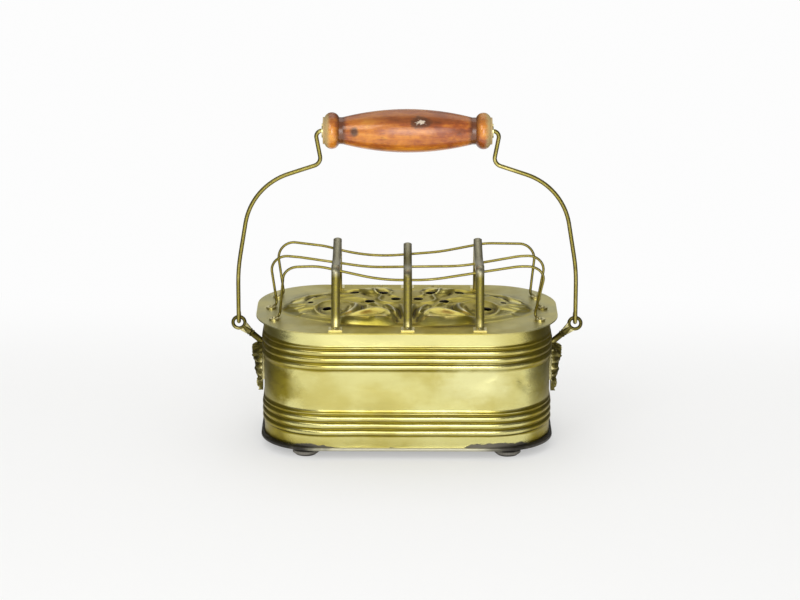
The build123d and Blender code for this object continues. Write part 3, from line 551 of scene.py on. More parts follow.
def iron(name, dark, pale, roughness, wear_and_sheen=WORN_IRON, front_sheen_share=0.0):
    """Blackened iron: near black, grey-brown clouds, edges rubbed to bare metal, a grainy skin.

    A front sheen share, from 0 to 1, paints a pale reflection of the floor on the middle of the
    front edge and makes it glossier.
    """
    mix = Finish(name)
    cloud = mix.noise(45.0, detail=7.0, roughness=0.65)
    grit = mix.noise(900.0, detail=3.0)
    edge = mix.band(mix.edge() + (cloud - 0.5) * 0.12, 0.52, 0.60)
    colour = mix.mix(mix.band(cloud, 0.42, 0.75), dark, pale)
    colour = mix.mix(edge, colour, wear_and_sheen)
    # painted reflection: the middle of the tray's front edge is pale and glossier
    front_sheen = 1.0 - mix.rise(abs(mix.axis(0)) + (cloud - 0.5) * (50.0 * MM), *TRAY_SHEEN_ENDS)
    front_sheen = front_sheen * (1.0 - mix.rise(mix.axis(1), *TRAY_SHEEN_FRONT)) * front_sheen_share
    colour = mix.mix(front_sheen, colour, TRAY_SHEEN)
    gloss = roughness + 0.15 * cloud - 0.18 * front_sheen
    return mix.metal(colour, gloss, (grit, 0.3, 0.5), metallic=0.75)


iron_sheet = iron("pan_iron", (0.045, 0.040, 0.036), (0.16, 0.145, 0.125), 0.45)
# the tray's front edge carries the painted reflection
iron_tray = iron("tray_iron", (0.050, 0.046, 0.040), (0.17, 0.155, 0.13), 0.42, front_sheen_share=1.0)
iron_cast = iron("foot_iron", (0.08, 0.074, 0.066), (0.20, 0.18, 0.155), 0.55, WORN_FEET)


def turned_wood():
    """Varnished beech: clouds and grain drawn out along X, dark beside the beads, scuffed, with
    painted shade along the top.
    """
    mix = Finish("grip_wood")
    along = abs(mix.axis(0))
    grain = mix.noise(190.0, detail=5.0, roughness=0.6, stretch=(0.12, 1.0, 1.0))
    pores = mix.noise(900.0, detail=2.0, stretch=(0.08, 1.0, 1.0))
    cloud = mix.noise(36.0, detail=4.0, roughness=0.6, stretch=(0.7, 1.0, 1.0))
    scuff = mix.noise(190.0, detail=6.0, roughness=0.75)
    uneven = scuff - 0.5
    tone = cloud * 0.62 + grain * 0.26 + scuff * 0.12
    colour = mix.node("ValToRGB", {"stops": WOOD_TONES}, {0: tone})
    colour = mix.mix(mix.band(pores, 0.60, 0.72) * 0.4, colour, WOOD_PORES)
    # painted shade along the grip's top; its coat is thinner there too
    dim_top = mix.rise(mix.axis(2) + (cloud - 0.5) * (8.0 * MM), *DIM_TOP)
    colour = mix.mix(dim_top * 0.6, colour, WOOD_TOP_SHADE)
    colour = mix.mix(mix.strip(along, *GRIP_NECK) * 0.8, colour, WOOD_NECK)
    rim = mix.rise(along + uneven * (6.0 * MM), *GRIP_RIM)
    colour = mix.mix(rim * 0.8, colour, WOOD_RIM)
    knot = mix.band(mix.near(KNOT, KNOT_HALF) + uneven * 0.3, 0.02, 0.45)
    colour = mix.mix(knot * 0.85, colour, WOOD_KNOT)
    worn = mix.band(mix.near(CHIP, CHIP_ROUND) + uneven * 1.5, 0.05, 0.40)
    colour = mix.mix(worn * 0.8, colour, WOOD_WORN)
    chip = mix.band(mix.near(CHIP, CHIP_HALF) + uneven * 2.2, 0.50, 0.62)
    colour = mix.mix(chip * 0.9, colour, WOOD_BARE)
    gloss = 0.30 + 0.2 * cloud + 0.2 * rim
    bumps = grain + scuff * 0.8 - chip * 0.8
    coat = (1.0 - rim * 0.6 - chip * 0.4) * (0.8 + 0.4 * cloud) * (1.0 - dim_top * 0.6)
    shellac = {"Coat Weight": coat, "Coat Roughness": 0.13}
    return mix.metal(colour, gloss, (bumps, 0.6, 0.6), metallic=0.0, **shellac)


grip_wood = turned_wood()

# %% [markdown]
# ## One finish for every piece
#
# Each piece of the frame names the material it is made of, so one loop gives all of them a finish.

# %% Finish every carried piece
FINISHES = {
    "brass_sheet": brass_sheet,
    "brass_cast": brass_cast,
    "brass_strip": brass_strip,
    "brass_wire": brass_wire,
    "brass_small": brass_small,
    "iron_sheet": iron_sheet,
    "iron_small": iron_cast,
    "iron_cast": iron_cast,
    "turned_wood": grip_wood,
}
for part in frame["record"]["subparts"]:
    carried = frame["nodes"][part["node"]]
    carried.data.materials.clear()
    carried.data.materials.append(FINISHES[part["material_slot"]])
frame["nodes"]["base_tray"].data.materials[0] = iron_tray
print("finished", len(frame["nodes"]), "pieces with", len(set(FINISHES.values())), "materials")

# %% [markdown]
# ## The casing
#
# The casing is one strip of sheet. Its beads were rolled in while it was flat, then it was bent
# round and soldered. So it is drawn the same way: a profile, with a half round for every bead, is
# carried along a rounded rectangle. A century of knocks is added along the surface's own normal:
# a slow wave and a few shallow dents, which are what bends the reflections of a real one. The depth
# of the grooves is stored on the points, because tarnish lives there.

# %% Casing
CASING_HALF = (120.0, 68.0)
CASING_CORNER = 53.0
CASING_LOW, CASING_HIGH = 7.8, 108.6
CASING_WALL = 1.0
BAND_TOPS = (96.6, 39.9)
FILLET_WIDTH, FILLET_PROUD = 2.4, 0.7
BEAD_WIDTH, BEAD_PROUD, BEAD_GROOVE = 5.5, 1.5, 0.5
BEADS = 3
CASING_LIP = 1.0  # plain sheet at the foot
GROOVE_HALF = 1.0  # half width of the dark line beside each bead
# slow waves in the sheet: depth, waves round the casing, turn per mm of height, start
WAVES = (
    (0.16, 7, 0.05, 0.0),
    (0.11, 13, -0.09, 1.3),
    (0.08, 3, 0.16, 0.0),
)
WAVES_INWARD = 0.2
KNOCK_FADES = (4.0, 6.0)  # mm over which the knocks fade out at the foot and at the top
# dents: x, height, half sizes along and up, depth; all on the front
DENTS = (
    (-89.0, 60.0, 11.0, 9.0, 0.55),
    (-62.0, 55.0, 16.0, 13.0, 0.45),
    (60.0, 66.0, 12.0, 6.0, 0.40),
    (82.0, 59.0, 9.0, 7.0, 0.40),
    (-20.0, 62.0, 30.0, 9.0, 0.25),
    (30.0, 50.0, 22.0, 8.0, 0.20),
    (95.0, 70.0, 6.0, 5.0, 0.30),
    (71.5, 72.0, 5.0, 2.4, 0.55),
    (66.0, 69.5, 4.0, 2.0, 0.35),
    (94.0, 66.0, 3.0, 4.5, 0.60),
    (98.0, 60.0, 2.6, 3.5, 0.45),
    (47.0, 52.0, 3.5, 2.4, 0.30),
    (-86.0, 50.0, 7.0, 6.0, 0.60),
    (21.0, 96.5, 3.0, 1.3, 0.30),
)


def bead_spans():
    """(top, width, projection) of every bead, from the top down."""
    spans = []
    for top in BAND_TOPS:
        spans.append((top, FILLET_WIDTH, FILLET_PROUD))
        first = top - FILLET_WIDTH - BEAD_GROOVE
        pitch = BEAD_WIDTH + BEAD_GROOVE
        spans += [(first - i * pitch, BEAD_WIDTH, BEAD_PROUD) for i in range(BEADS)]
    return spans


def strip_profile(per_bead, per_flat):
    """Heights and projections up the strip; a bead is an arc, sqrt(R^2 - z^2) - (R - proud)."""
    level = CASING_LOW + CASING_LIP
    heights, proud = [np.linspace(CASING_LOW, level, 3)], [np.zeros(3)]
    for top, width, rise in reversed(bead_spans()):
        low = top - width
        count = per_flat if low - level > 2 * BEAD_GROOVE else 3
        flat = np.linspace(level, low, count, endpoint=False)[1:]
        radius = (width**2 / 4 + rise**2) / (2 * rise)
        arc = np.linspace(-width / 2, width / 2, per_bead)
        heights += [flat, low + width / 2 + arc]
        proud += [np.zeros(len(flat)), np.sqrt(radius**2 - arc**2) - (radius - rise)]
        level = top
    flat = np.linspace(level, CASING_HIGH, per_flat)[1:]
    return np.concatenate(heights + [flat]), np.concatenate(proud + [np.zeros(len(flat))])


def rounded_course(half, corner, count):
    """Points and outward normals at even steps round a rounded rectangle, closed."""
    steps = 61
    angle = np.linspace(0.0, 2 * np.pi, 4 * steps)
    normal = np.stack([np.cos(angle), np.sin(angle)], axis=-1)
    quarter = np.repeat(np.array([(1, 1), (-1, 1), (-1, -1), (1, -1)]), steps, axis=0)
    place = quarter * (np.array(half) - corner) + corner * normal
    place, normal = np.vstack([place, place[:1]]), np.vstack([normal, normal[:1]])
    run = np.concatenate([[0.0], np.cumsum(np.hypot(*np.diff(place, axis=0).T))])
    even = np.linspace(0.0, run[-1], count)
    both = np.hstack([place, normal])
    both = np.stack([np.interp(even, run, column) for column in both.T], axis=-1)
    return both[:, :2], both[:, 2:] / np.linalg.norm(both[:, 2:], axis=1)[:, None], even


def knocks(x, y, z, run):
    """How far the sheet is pushed in or out, in mm: slow waves and the front's dents."""
    turned = 2 * np.pi * run / run.max()
    wave = sum(deep * np.sin(count * turned + lean * z + start) for deep, count, lean, start in WAVES)
    push = np.zeros(x.shape)
    for dx, dz, along, up, depth in DENTS:
        push -= depth * np.exp(-(((x - dx) / along) ** 2) - ((z - dz) / up) ** 2) * (y < 0)
    edge = np.clip((z - CASING_LOW) / KNOCK_FADES[0], 0, 1)
    edge = edge * np.clip((CASING_HIGH - z) / KNOCK_FADES[1], 0, 1)
    return (wave - WAVES_INWARD + push) * edge


strip_z, strip_out = strip_profile(*(((11, 14))))
course, outward, run = rounded_course(CASING_HALF, CASING_CORNER, 330)
rows = (len(strip_z), len(run))
z_grid = np.broadcast_to(strip_z[:, None], rows)
x_grid, y_grid = course[:, 0] + 0 * z_grid, course[:, 1] + 0 * z_grid
push = knocks(x_grid, y_grid, z_grid, run + 0 * z_grid)
reach = strip_out[:, None] + push


def at_reach(reach, z):
    """The course moved out by reach mm, at each height."""
    flat = course[None] + outward[None] * reach[..., None]
    return np.concatenate([flat, z[..., None]], axis=-1)


inner_reach = np.minimum(push, 0.0) - CASING_WALL
strip = [at_reach(reach, z_grid), at_reach(inner_reach, z_grid)[::-1]]
strip.append(at_reach(reach[:1], z_grid[:1]))
groove = np.zeros(rows)
for top, width, _ in bead_spans():
    for line in (top, top - width):
        groove = np.maximum(groove, np.exp(-(((z_grid - line) / GROOVE_HALF) ** 2)))
hollow = np.concatenate([groove, groove[::-1], groove[:1]])
inside = np.concatenate([0 * groove, 0 * groove + 1, 0 * groove[:1]])
shell = skin("casing_shell", np.concatenate(strip), smooth=60.0, hollow=hollow, inside=inside)
shell.data.materials.append(brass_sheet)
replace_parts(shell, "casing")
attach(shell, "casing")
deepest = round(float(-push.min()), 2)
print("casing:", len(shell.data.polygons), "faces, pushed in by up to", deepest, "mm")

# %% [markdown]
# ## The embossed lid
#
# The real lid is thin sheet pressed over a die. A raised oval plateau carries scrolls, acanthus
# leaves and a ring of heat holes, and a flat brim runs round it to the rolled edge. A pressed
# surface is one height over each point of the plan, so it can be written as a height function: the
# plateau, plus a ridge for every curve of the drawing, minus a hollow beside it. The pattern is
# the same left and right, so curves are drawn once and the formula uses the distance from the
# middle.

# %% Lid surface
LID_HALF, LID_CORNER = (126.0, 74.0), 59.0
DOME_HALF, DOME_RISE = (104.0, 52.0), 6.6
BRIM_LEVEL = 109.9
LID_SHEET = 1.0
RELIEF_KNEE = 8.2  # relief above this rise is pressed flatter and flatter
RELIEF_ROOM = 2.1
GROUND_SUNK = 0.9  # how far the ground lies below the leaves
RIDGE_ENDS = 0.3  # share of a ridge's length over which it thins out
# a bead and a groove round the oval: share of the way to its edge, height
EDGE_LINES = (1.012, 0.5), (0.985, -0.3)
EDGE_LINE_WIDTH = 0.012
HOLE_RIM = (0.5, 1.5)  # mm round a heat hole that lie flat, and over which the relief comes back
HOLE_SUNK, HOLE_SUNK_WIDTH = 0.5, 3.0


def rim_reach(dx, dy):
    """Distance from the middle to a rounded rectangle, in the direction (dx, dy)."""
    cx, cy = LID_HALF[0] - LID_CORNER, LID_HALF[1] - LID_CORNER
    dx, dy = np.abs(dx), np.abs(dy)
    side = LID_HALF[0] / np.maximum(dx, 1e-9)
    front = LID_HALF[1] / np.maximum(dy, 1e-9)
    across = cx * dx + cy * dy
    corner = across + np.sqrt(np.maximum(across**2 - cx**2 - cy**2 + LID_CORNER**2, 0.0))
    reach = np.where(side * dy <= cy, side, corner)
    return np.where(front * dx <= cx, front, reach)


def flowing(corners, count=40):
    """A smooth curve through every corner (Catmull-Rom), as an array of points."""
    corners = np.array(corners, float)
    before, after = 2 * corners[:1] - corners[1:2], 2 * corners[-1:] - corners[-2:-1]
    padded = np.vstack([before, corners, after])
    t = np.linspace(0.0, len(corners) - 1.0, count)
    i = np.minimum(t.astype(int), len(corners) - 2)
    s = (t - i)[:, None]
    a, b, c, d = (padded[i + k] for k in range(4))
    bend = (2 * a - 5 * b + 4 * c - d) * s**2 + (3 * b - a - 3 * c + d) * s**3
    return 0.5 * (2 * b + (c - a) * s + bend)


def nearest(u, y, line):
    """Distance to a line of points, and the share of the way along it."""
    best, share = np.full(u.shape, 1e9), np.zeros(u.shape)
    for i, (start, stop) in enumerate(zip(line[:-1], line[1:])):
        step = stop - start
        t = np.clip(((u - start[0]) * step[0] + (y - start[1]) * step[1]) / (step @ step), 0.0, 1.0)
        gap = np.hypot(u - start[0] - t * step[0], y - start[1] - t * step[1])
        closer = gap < best
        best = np.where(closer, gap, best)
        share = np.where(closer, (i + t) / (len(line) - 1), share)
    return best, share


def ridge(u, y, corners, width, height):
    """A round ridge: height * exp(-(d / w)^2), thinner and lower towards both ends."""
    gap, share = nearest(u, y, flowing(corners))
    taper = np.clip(np.minimum(share, 1 - share) / RIDGE_ENDS, 0.0, 1.0) ** 0.6
    return height * taper * np.exp(-((gap / (width * (0.4 + 0.6 * taper))) ** 2))


def field(u, y, corners, height, slope):
    """A field that swells inside a closed outline, like a pillow slope mm wide at its edge.

    height * (1 - (1 - d / slope)^2), where d is the distance inside the outline
    """
    line = flowing([*corners, corners[0]], 8 * len(corners))
    gap = nearest(u, y, line)[0]
    crossings = np.zeros(u.shape, int)
    for (x0, y0), (x1, y1) in zip(line[:-1], line[1:]):
        level = (y0 > y) != (y1 > y)
        crossings += level & (u < x0 + (y - y0) * (x1 - x0) / (y1 - y0 + (y1 == y0)))
    rise = np.clip(0.15 + np.where(crossings % 2, gap, -gap) / slope, 0.0, 1.0)
    return height * (1 - (1 - rise) ** 2) * np.clip(rise * 5, 0.0, 1.0)


# closed outlines: (distance from the middle, y)
LOBE = ((9, -45), (12, -34), (18, -27), (26, -23), (34, -27), (42, -33))
LOBE += ((54, -38), (66, -42), (50, -47), (30, -51), (12, -51))
REAR_LOBE = ((13, 44), (15, 32), (23, 24), (32, 26), (42, 34), (56, 37), (58, 45), (30, 50), (14, 49))
END_LEAF = ((79, -19), (90, -20), (99, -14), (106, -2), (97, 4), (86, -1), (78, -8))
REAR_LEAF = ((97, 6), (99, 18), (90, 32), (76, 44), (60, 50), (64, 40), (78, 26), (86, 12))
# outline, height, slope
FIELDS = (
    (LOBE, 3.2, 8.0),
    (REAR_LOBE, 3.0, 8.0),
    (END_LEAF, 2.0, 5.0),
    (REAR_LEAF, 2.0, 5.0),
)
# ridges and grooves: corners (distance from the middle, y), width, height
SCROLLS = (
    (((12, -40), (17, -31), (26, -27), (36, -32), (47, -37), (60, -41)), 3.2, 1.9),  # lobes
    (((19, -37), (28, -37), (40, -41)), 3.4, -1.5),
    (((15, -44), (22, -45.5), (31, -44.5)), 3.2, 1.5),
    (((19, -9), (15, -16), (11, -26), (9, -40)), 2.6, 2.6),  # leaf between the lobes
    (((20, -9), (18, -20), (13, -27), (9, -34)), 1.3, 0.9),
    (((13, -9), (8, -20), (6, -30), (5, -44)), 1.5, -1.5),
    (((6, -5), (4, -16), (3, -30), (1, -42)), 2.2, 1.7),
    (((0, -4), (0, -24), (0, -44)), 1.2, -0.9),
    (((46, -3), (43, -12), (44, -22), (49, -30), (56, -34)), 3.4, 3.0),  # volute
    (((46, -3), (53, 2), (62, 3), (71, -1), (76, -9), (77, -19), (73, -28), (64, -34)), 2.4, 1.7),
    (((49, -9), (48, -17), (50, -25), (54, -24), (55, -18)), 1.6, 1.3),
    (((56, -9), (62, -8), (68, -10), (71, -17), (68, -25), (61, -28)), 3.0, -1.3),
    (((40, -2), (37, -14), (39, -26), (46, -35)), 1.8, -1.0),
    (((34, -4), (33, -14), (34, -24)), 1.6, 0.7),
    (((22, -17), (26, -8), (36, 8), (48, 12), (60, 8)), 3.2, 1.5),  # stems
    (((24, -18), (30, -8), (40, 2), (50, 6)), 1.5, -0.9),
    (((2, 2), (12, -4), (20, -2), (24, 6), (22, 18), (27, 30), (30, 44)), 2.2, 1.7),
    (((6, 16), (13, 19), (14, 28), (11, 38)), 1.8, 1.4),
    (((28, 14), (34, 22), (38, 32), (42, 40)), 1.8, -1.0),
    (((36, 12), (48, 20), (56, 20), (62, 14), (60, 8)), 2.2, 1.5),
    (((50, 26), (60, 24), (66, 30), (62, 38), (54, 40)), 2.2, 1.4),
    (((84, -12), (94, -14), (103, -6)), 1.2, -0.9),  # leaves at the ends
    (((82, -6), (92, -7), (101, -1)), 1.2, -0.8),
    (((82, -22), (92, -25), (101, -18), (107, -7)), 1.2, 0.9),
    (((95, 12), (90, 26), (76, 38), (64, 44)), 1.3, -1.2),
    (((91, 12), (84, 25), (72, 36)), 1.1, 1.0),
    (((86, 10), (80, 23), (70, 32)), 1.4, -1.3),
    (((81, 10), (75, 21), (67, 28)), 1.1, 1.0),
    (((87, 2), (82, 10), (74, 17), (66, 20)), 1.8, 1.2),
    (((30, -44), (62, -38), (86, -24), (98, -10)), 1.1, 0.6),
)
# heat holes: x, y, radius; each is pierced on the left too
HEAT_HOLES = (
    (31.20, 1.04, 4.2),
    (44.72, 32.24, 4.2),
    (66.56, -17.16, 4.2),
    (19.76, 28.08, 4.2),
    (9.36, 8.84, 4.2),
    (81.12, 3.12, 2.5),
    (78.00, 21.84, 2.5),
)


def lid_height(x, y):
    """Height of the sheet's top over each plan point, in mm, and the relief alone.

    plateau = rise * (1 - q^4)^0.6 with q the share of the way to the oval's edge; relief is the
    sum of fields, ridges and hole rims, faded out near the edge; a bead and a groove run round it
    and the highest crests are pressed down, knee + room * (1 - exp(-over / room))
    """
    q = np.sqrt((x / DOME_HALF[0]) ** 2 + (y / DOME_HALF[1]) ** 2)
    inside = np.clip(1 - q**4, 0.0, 1.0)
    u = np.abs(x)
    relief = -GROUND_SUNK * np.clip(inside * 3, 0.0, 1.0)
    for corners, height, slope in FIELDS:
        relief = relief + field(u, y, corners, height, slope)
    for corners, width, height in SCROLLS:
        relief = relief + ridge(u, y, corners, width, height)
    for hx, hy, radius in HEAT_HOLES:
        gap = np.hypot(u - hx, y - hy) - radius
        flat = np.exp(-((np.maximum(gap - HOLE_RIM[0], 0.0) / HOLE_RIM[1]) ** 2))
        relief = relief * (1 - 0.8 * flat) - HOLE_SUNK * np.exp(-((gap / HOLE_SUNK_WIDTH) ** 2))
    lines = sum(h * np.exp(-(((q - share) / EDGE_LINE_WIDTH) ** 2)) for share, h in EDGE_LINES)
    height = DOME_RISE * inside**0.6 + relief * np.clip(inside * 3.0, 0.0, 1.0) ** 0.7 + lines
    over = np.maximum(height - RELIEF_KNEE, 0.0)
    height = np.clip(height, 0.0, RELIEF_KNEE) + RELIEF_ROOM * (1 - np.exp(-over / RELIEF_ROOM))
    return BRIM_LEVEL + height, relief


def lid_grid(steps_round, steps_dome, steps_brim):
    """Plan points on rings: ovals up to the plateau's edge, then blending out to the lid's edge."""
    angle = np.linspace(0.0, 2 * np.pi, steps_round + 1)
    oval = np.stack([DOME_HALF[0] * np.cos(angle), DOME_HALF[1] * np.sin(angle)], axis=-1)
    length = np.hypot(oval[:, 0], oval[:, 1])
    edge = oval * (rim_reach(oval[:, 0] / length, oval[:, 1] / length) / length)[:, None]
    dome = np.linspace(0.0, 1.0, steps_dome)[:, None, None] * oval
    out = np.linspace(0.0, 1.0, steps_brim)[1:, None, None]
    return np.concatenate([dome, oval + out * (edge - oval)])


def softened(values, steps):
    """The grid's values averaged with their neighbours, several times over."""
    for _ in range(steps):
        wrapped = np.concatenate([values[:, -2:-1], values, values[:, 1:2]], axis=1)
        values = (wrapped[:, :-2] + wrapped[:, 1:-1] + wrapped[:, 2:]) / 3
        tall = np.concatenate([values[:1], values, values[-1:]])
        values = (tall[:-2] + tall[1:-1] + tall[2:]) / 3
    return values


STEPS = ((460, 94, 10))  # round, over the dome, over the brim
SOFTENINGS = 18
plan = lid_grid(*STEPS)
top, relief = lid_height(plan[..., 0], plan[..., 1])
crest = relief - softened(relief, SOFTENINGS)
upper = np.concatenate([plan, top[..., None]], axis=-1)
lower = np.concatenate([plan, (top - LID_SHEET)[..., None]], axis=-1)
both = np.concatenate([upper, lower[::-1]])
crests = np.concatenate([crest, 0 * crest])
reliefs = np.concatenate([relief, 0 * relief])
lid = skin("lid_embossed", both, smooth=50.0, crest=crests, raised=reliefs)
print("relief from", round(float(relief.min()), 2), "to", round(float(relief.max()), 2), "mm")

# %% [markdown]
# ## The heat holes
#
# The holes were punched through after pressing, so they are cut through the finished sheet, with
# the walls left dark: in the real lid soot and shade make them black.

# %% Pierce the lid
HOLE_SIDES = 28
drill = bmesh.new()
for hx, hy, radius in HEAT_HOLES:
    for side in (-1, 1):
        bmesh.ops.create_cone(
            drill,
            cap_ends=True,
            segments=HOLE_SIDES,
            radius1=radius * MM,
            radius2=radius * MM,
            depth=40 * MM,
            matrix=Matrix.Translation(Vector((side * hx, hy, BRIM_LEVEL)) * MM),
        )
drill_mesh = bpy.data.meshes.new("drill")
drill_mesh.materials.append(iron_sheet)
drill.to_mesh(drill_mesh)
drill.free()
drills = put("drill", drill_mesh)
lid.data.materials.append(brass_lid)
cut = lid.modifiers.new("pierce", "BOOLEAN")
cut.object = drills
cut.solver = "EXACT"
cut.material_mode = "TRANSFER"
pierced = bpy.data.meshes.new_from_object(lid.evaluated_get(bpy.context.evaluated_depsgraph_get()))
lid.modifiers.clear()
lid.data = pierced
bpy.data.objects.remove(drills)
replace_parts(lid, "lid")
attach(lid, "lid")
print("lid:", len(lid.data.polygons), "faces, top", round(max(v.co.z for v in lid.data.vertices), 4))

# %% [markdown]
# ## The lions
#
# Each bracket is one small casting: a lion's mask, an arm and an eye for the bail. The mask was
# modelled over a board, so it too is one height over each point, this time measured outwards from
# the casing's end. Its parts are named bumps: brow, eyes, nose, muzzle, and a mane of locks that
# turn round the face.

# %% Lion masks
MASK_BACK = 121.6
MASK_LOW, MASK_HIGH = 38.0, 81.5
MASK_HALF = 14.0
MASK_PROUD = 10.0
# the mask's depth at each height, in shares, before its features are laid on
MASK_HEIGHTS = (0.0, 0.1, 0.2, 0.36, 0.5, 0.67, 0.8, 0.9, 1.0)
MASK_DEPTHS = (0.2, 0.3, 0.3, 0.4, 0.5, 0.66, 0.84, 0.7, 0.3)
# features: place (across, up), half sizes, height; those off the middle stand on both sides
FEATURES = (
    ((0.30, 0.665), (0.22, 0.05), 0.13),  # brow
    ((0.30, 0.585), (0.20, 0.045), -0.16),  # eye socket
    ((0.30, 0.58), (0.11, 0.026), 0.12),  # eye
    ((0.0, 0.55), (0.13, 0.12), 0.14),  # bridge of the nose
    ((0.0, 0.44), (0.20, 0.045), 0.20),  # nose
    ((0.20, 0.36), (0.22, 0.07), 0.18),  # muzzle
    ((0.0, 0.37), (0.05, 0.07), -0.10),  # cleft of the lip
    ((0.0, 0.275), (0.30, 0.022), -0.16),  # mouth
    ((0.0, 0.20), (0.20, 0.05), 0.16),  # chin
    ((0.0, 0.08), (0.25, 0.04), 0.10),  # beard
)
# the mane: the share out from the face's middle where it starts, and over which it grows
MANE_START, MANE_GROWTH = 0.45, 0.2
# count round the face, twist, and depth in shares
LOCKS, LOCK_TWIST, LOCK_DEPTH = 13, 7.0, 0.17
HAIRS, HAIR_TWIST, HAIR_DEPTH = 34, -9.0, 0.05
TUFTS, TUFT_DEPTH = 6.5, 0.07  # count up the face
# half the mask's width at each height, in shares: narrow chin, full cheeks, round crown
WIDTH_HEIGHTS = (0.0, 0.03, 0.1, 0.21, 0.33, 0.45, 0.6, 0.72, 0.84, 0.93, 0.98, 1.0)
WIDTHS = (0.0, 0.25, 0.38, 0.54, 0.74, 0.88, 0.98, 1.0, 0.92, 0.72, 0.42, 0.0)


def bump(s, v, place, size, height):
    """A round bump: height * exp(-distance^2), with the distance in its own half sizes."""
    return height * np.exp(-(((s - place[0]) / size[0]) ** 2) - ((v - place[1]) / size[1]) ** 2)


def lion_depth(s, v):
    """How far the mask stands out, in shares; s runs across from -1 to 1 and v up from 0 to 1.

    rounded board + mane * (locks + hairs + tufts) + features
    """
    side = np.abs(s)
    profile = np.interp(v, MASK_HEIGHTS, MASK_DEPTHS)
    depth = profile * np.clip(1 - side**3.2, 0.0, 1.0) ** 0.5
    out = np.hypot(s * 0.9, (v - 0.52) * 1.9)
    angle, twist = np.arctan2(s, v - 0.5), np.sign(s) * out
    mane = np.clip((out - MANE_START) / MANE_GROWTH, 0.0, 1.0)
    locks = 0.5 + 0.5 * np.cos(LOCKS * angle + LOCK_TWIST * twist)
    depth += LOCK_DEPTH * mane * (locks**1.5 - 0.45)
    depth += HAIR_DEPTH * mane * np.cos(HAIRS * angle + HAIR_TWIST * twist)
    depth += TUFT_DEPTH * mane * np.cos(2 * np.pi * (TUFTS * v + 0.5 * side))
    for place, size, height in FEATURES:
        depth += bump(side, v, place, size, height)
    return np.clip(depth, 0.02, 1.0)


def half_width(v):
    """Half the mask's width at each height, in shares, with the mane's scallops."""
    return np.interp(v, WIDTH_HEIGHTS, WIDTHS) * (1 + 0.045 * np.cos(15 * np.pi * v))


def tube(course, radii):
    """Points round a straight or curved course; one radius for each of its points."""
    tangent = np.gradient(course, axis=0)
    tangent /= np.linalg.norm(tangent, axis=1)[:, None]
    first = np.cross(tangent, (0.0, 1.0, 0.0))
    first /= np.linalg.norm(first, axis=1)[:, None]
    second = np.cross(tangent, first)
    angle = np.linspace(0.0, 2 * np.pi, TUBE_SIDES + 1)[None, :, None]
    around = first[:, None] * np.cos(angle) + second[:, None] * np.sin(angle)
    return course[:, None] + around * np.array(radii, float)[:, None, None]


def join(name, pieces):
    """Several skins as one piece."""
    whole = bmesh.new()
    for piece in pieces:
        whole.from_mesh(piece.data)
        bpy.data.objects.remove(piece)
    return shaded(bpy.data.meshes.new(name), whole, 50.0)


TUBE_SIDES, EYE_SIDES = 24, 48
EYE = np.array([141.4, 0.0, 97.5])
EYE_RING, EYE_WIRE = 5.0, 1.48  # radii of the ring and of its wire
ARM_ROOT = np.array([121.6, 0.0, 80.5])
PAD = ((120.0, -8.0, 50.0), (122.2, 8.0, 74.0))  # two corners of the plate behind the mask
# the arm's radius at each share of its way: two rings are turned on it before it thins out
ARM_SHARES = (0.0, 0.145, 0.41, 0.452, 0.494, 0.536, 0.578, 0.808)
ARM_RADII = (3.4, 2.6, 2.6, 3.3, 2.6, 3.3, 2.8, 1.6)
WEB_HALF = 1.2
WEB_SPREAD = np.radians(75.0)
WEB_NECK = (11.0, 3.0)  # how far out from the eye's middle, and half as wide


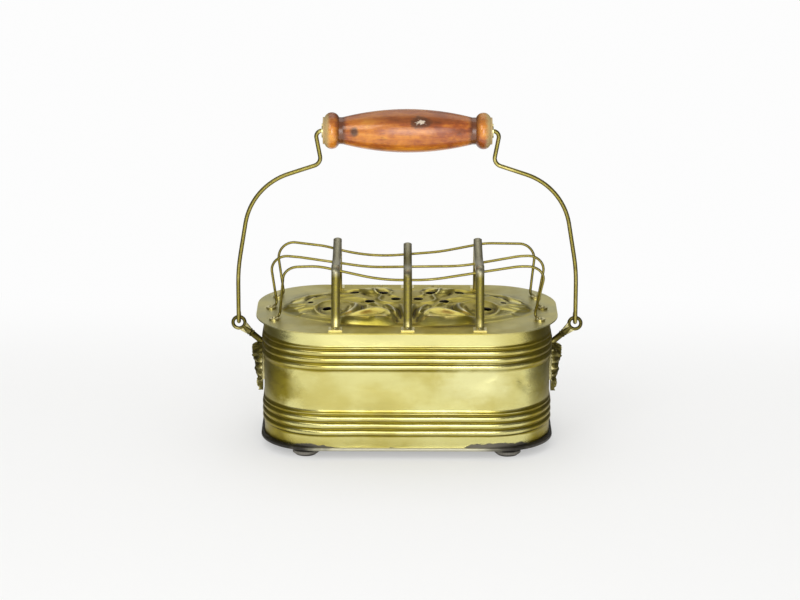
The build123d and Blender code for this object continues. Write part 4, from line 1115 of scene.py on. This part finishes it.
def eye_web(name):
    """The plate that spreads from the arm's end round the eye's ring; both ends are closed."""
    lean = np.arctan2(*(ARM_ROOT - EYE)[[2, 0]])
    share = np.linspace(-1.0, 1.0, 15)
    ring = EYE_RING * np.stack([np.cos(share * WEB_SPREAD), np.sin(share * WEB_SPREAD)], axis=-1)
    neck = np.stack([0 * share + WEB_NECK[0], share * WEB_NECK[1]], axis=-1)
    loop = np.stack([ring, neck, neck, ring, ring], axis=1)
    across = np.array([-1, -1, 1, 1, -1]) * WEB_HALF
    x = EYE[0] + loop[..., 0] * np.cos(lean) - loop[..., 1] * np.sin(lean)
    z = EYE[2] + loop[..., 0] * np.sin(lean) + loop[..., 1] * np.cos(lean)
    points = np.stack([x, across + 0 * x, z], axis=-1)
    middle = points[:, :4].mean(axis=1, keepdims=True) + 0 * points
    return skin(name, np.concatenate([middle[:1], points, middle[-1:]]), smooth=30.0)


def lion_bracket(name, side):
    """One casting, mirrored to its side: mask, pad, arm and eye."""
    count = 130
    s = np.linspace(-1.0, 1.0, count)[None, :]
    v = np.linspace(0.0, 1.0, 2 * count)[:, None]
    depth = lion_depth(s + 0 * v, v + 0 * s) * MASK_PROUD
    y = s * (half_width(v) * MASK_HALF)
    z = MASK_LOW + v * (MASK_HIGH - MASK_LOW) + 0 * s
    front, back = (np.stack([MASK_BACK + x, y, z], axis=-1) for x in (depth, 0 * depth))
    face = skin(name + "_face", np.concatenate([front, back[:, ::-1], front[:, :1]], axis=1))
    course = ARM_ROOT + np.array(ARM_SHARES)[:, None] * (EYE - ARM_ROOT)
    arm = skin(name + "_arm", tube(course, ARM_RADII))
    angle = np.linspace(0.0, 2 * np.pi, EYE_SIDES + 1)[:, None]
    turn = np.linspace(0.0, 2 * np.pi, TUBE_SIDES + 1)[None, :]
    reach, thick = EYE_RING + EYE_WIRE * np.cos(turn), EYE_WIRE * np.sin(turn)
    ring = np.stack([reach * np.cos(angle), thick + 0 * angle, reach * np.sin(angle)], axis=-1)
    eye = skin(name + "_eye", EYE + ring)
    low, high = np.array(PAD)
    middle = Matrix.Translation(Vector((low + high) / 2) * MM)
    block = bmesh.new()
    size = Matrix.Diagonal(Vector((*(high - low) * MM, 1.0)))
    bmesh.ops.create_cube(block, size=1.0, matrix=middle @ size)
    pad = shaded(bpy.data.meshes.new(name + "_pad"), block, 50.0)
    casting = join(name, (face, arm, eye, pad, eye_web(name + "_web")))
    if side < 0:
        casting.data.transform(Matrix.Scale(-1.0, 4, (1.0, 0.0, 0.0)))
        casting.data.flip_normals()
    casting.data.materials.append(brass_cast)
    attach(casting, "casing")
    return casting


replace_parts(lion_bracket("lion_bracket_right", 1), "bracket_right")
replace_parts(lion_bracket("lion_bracket_left", -1), "bracket_left")
print("lion brackets ready")
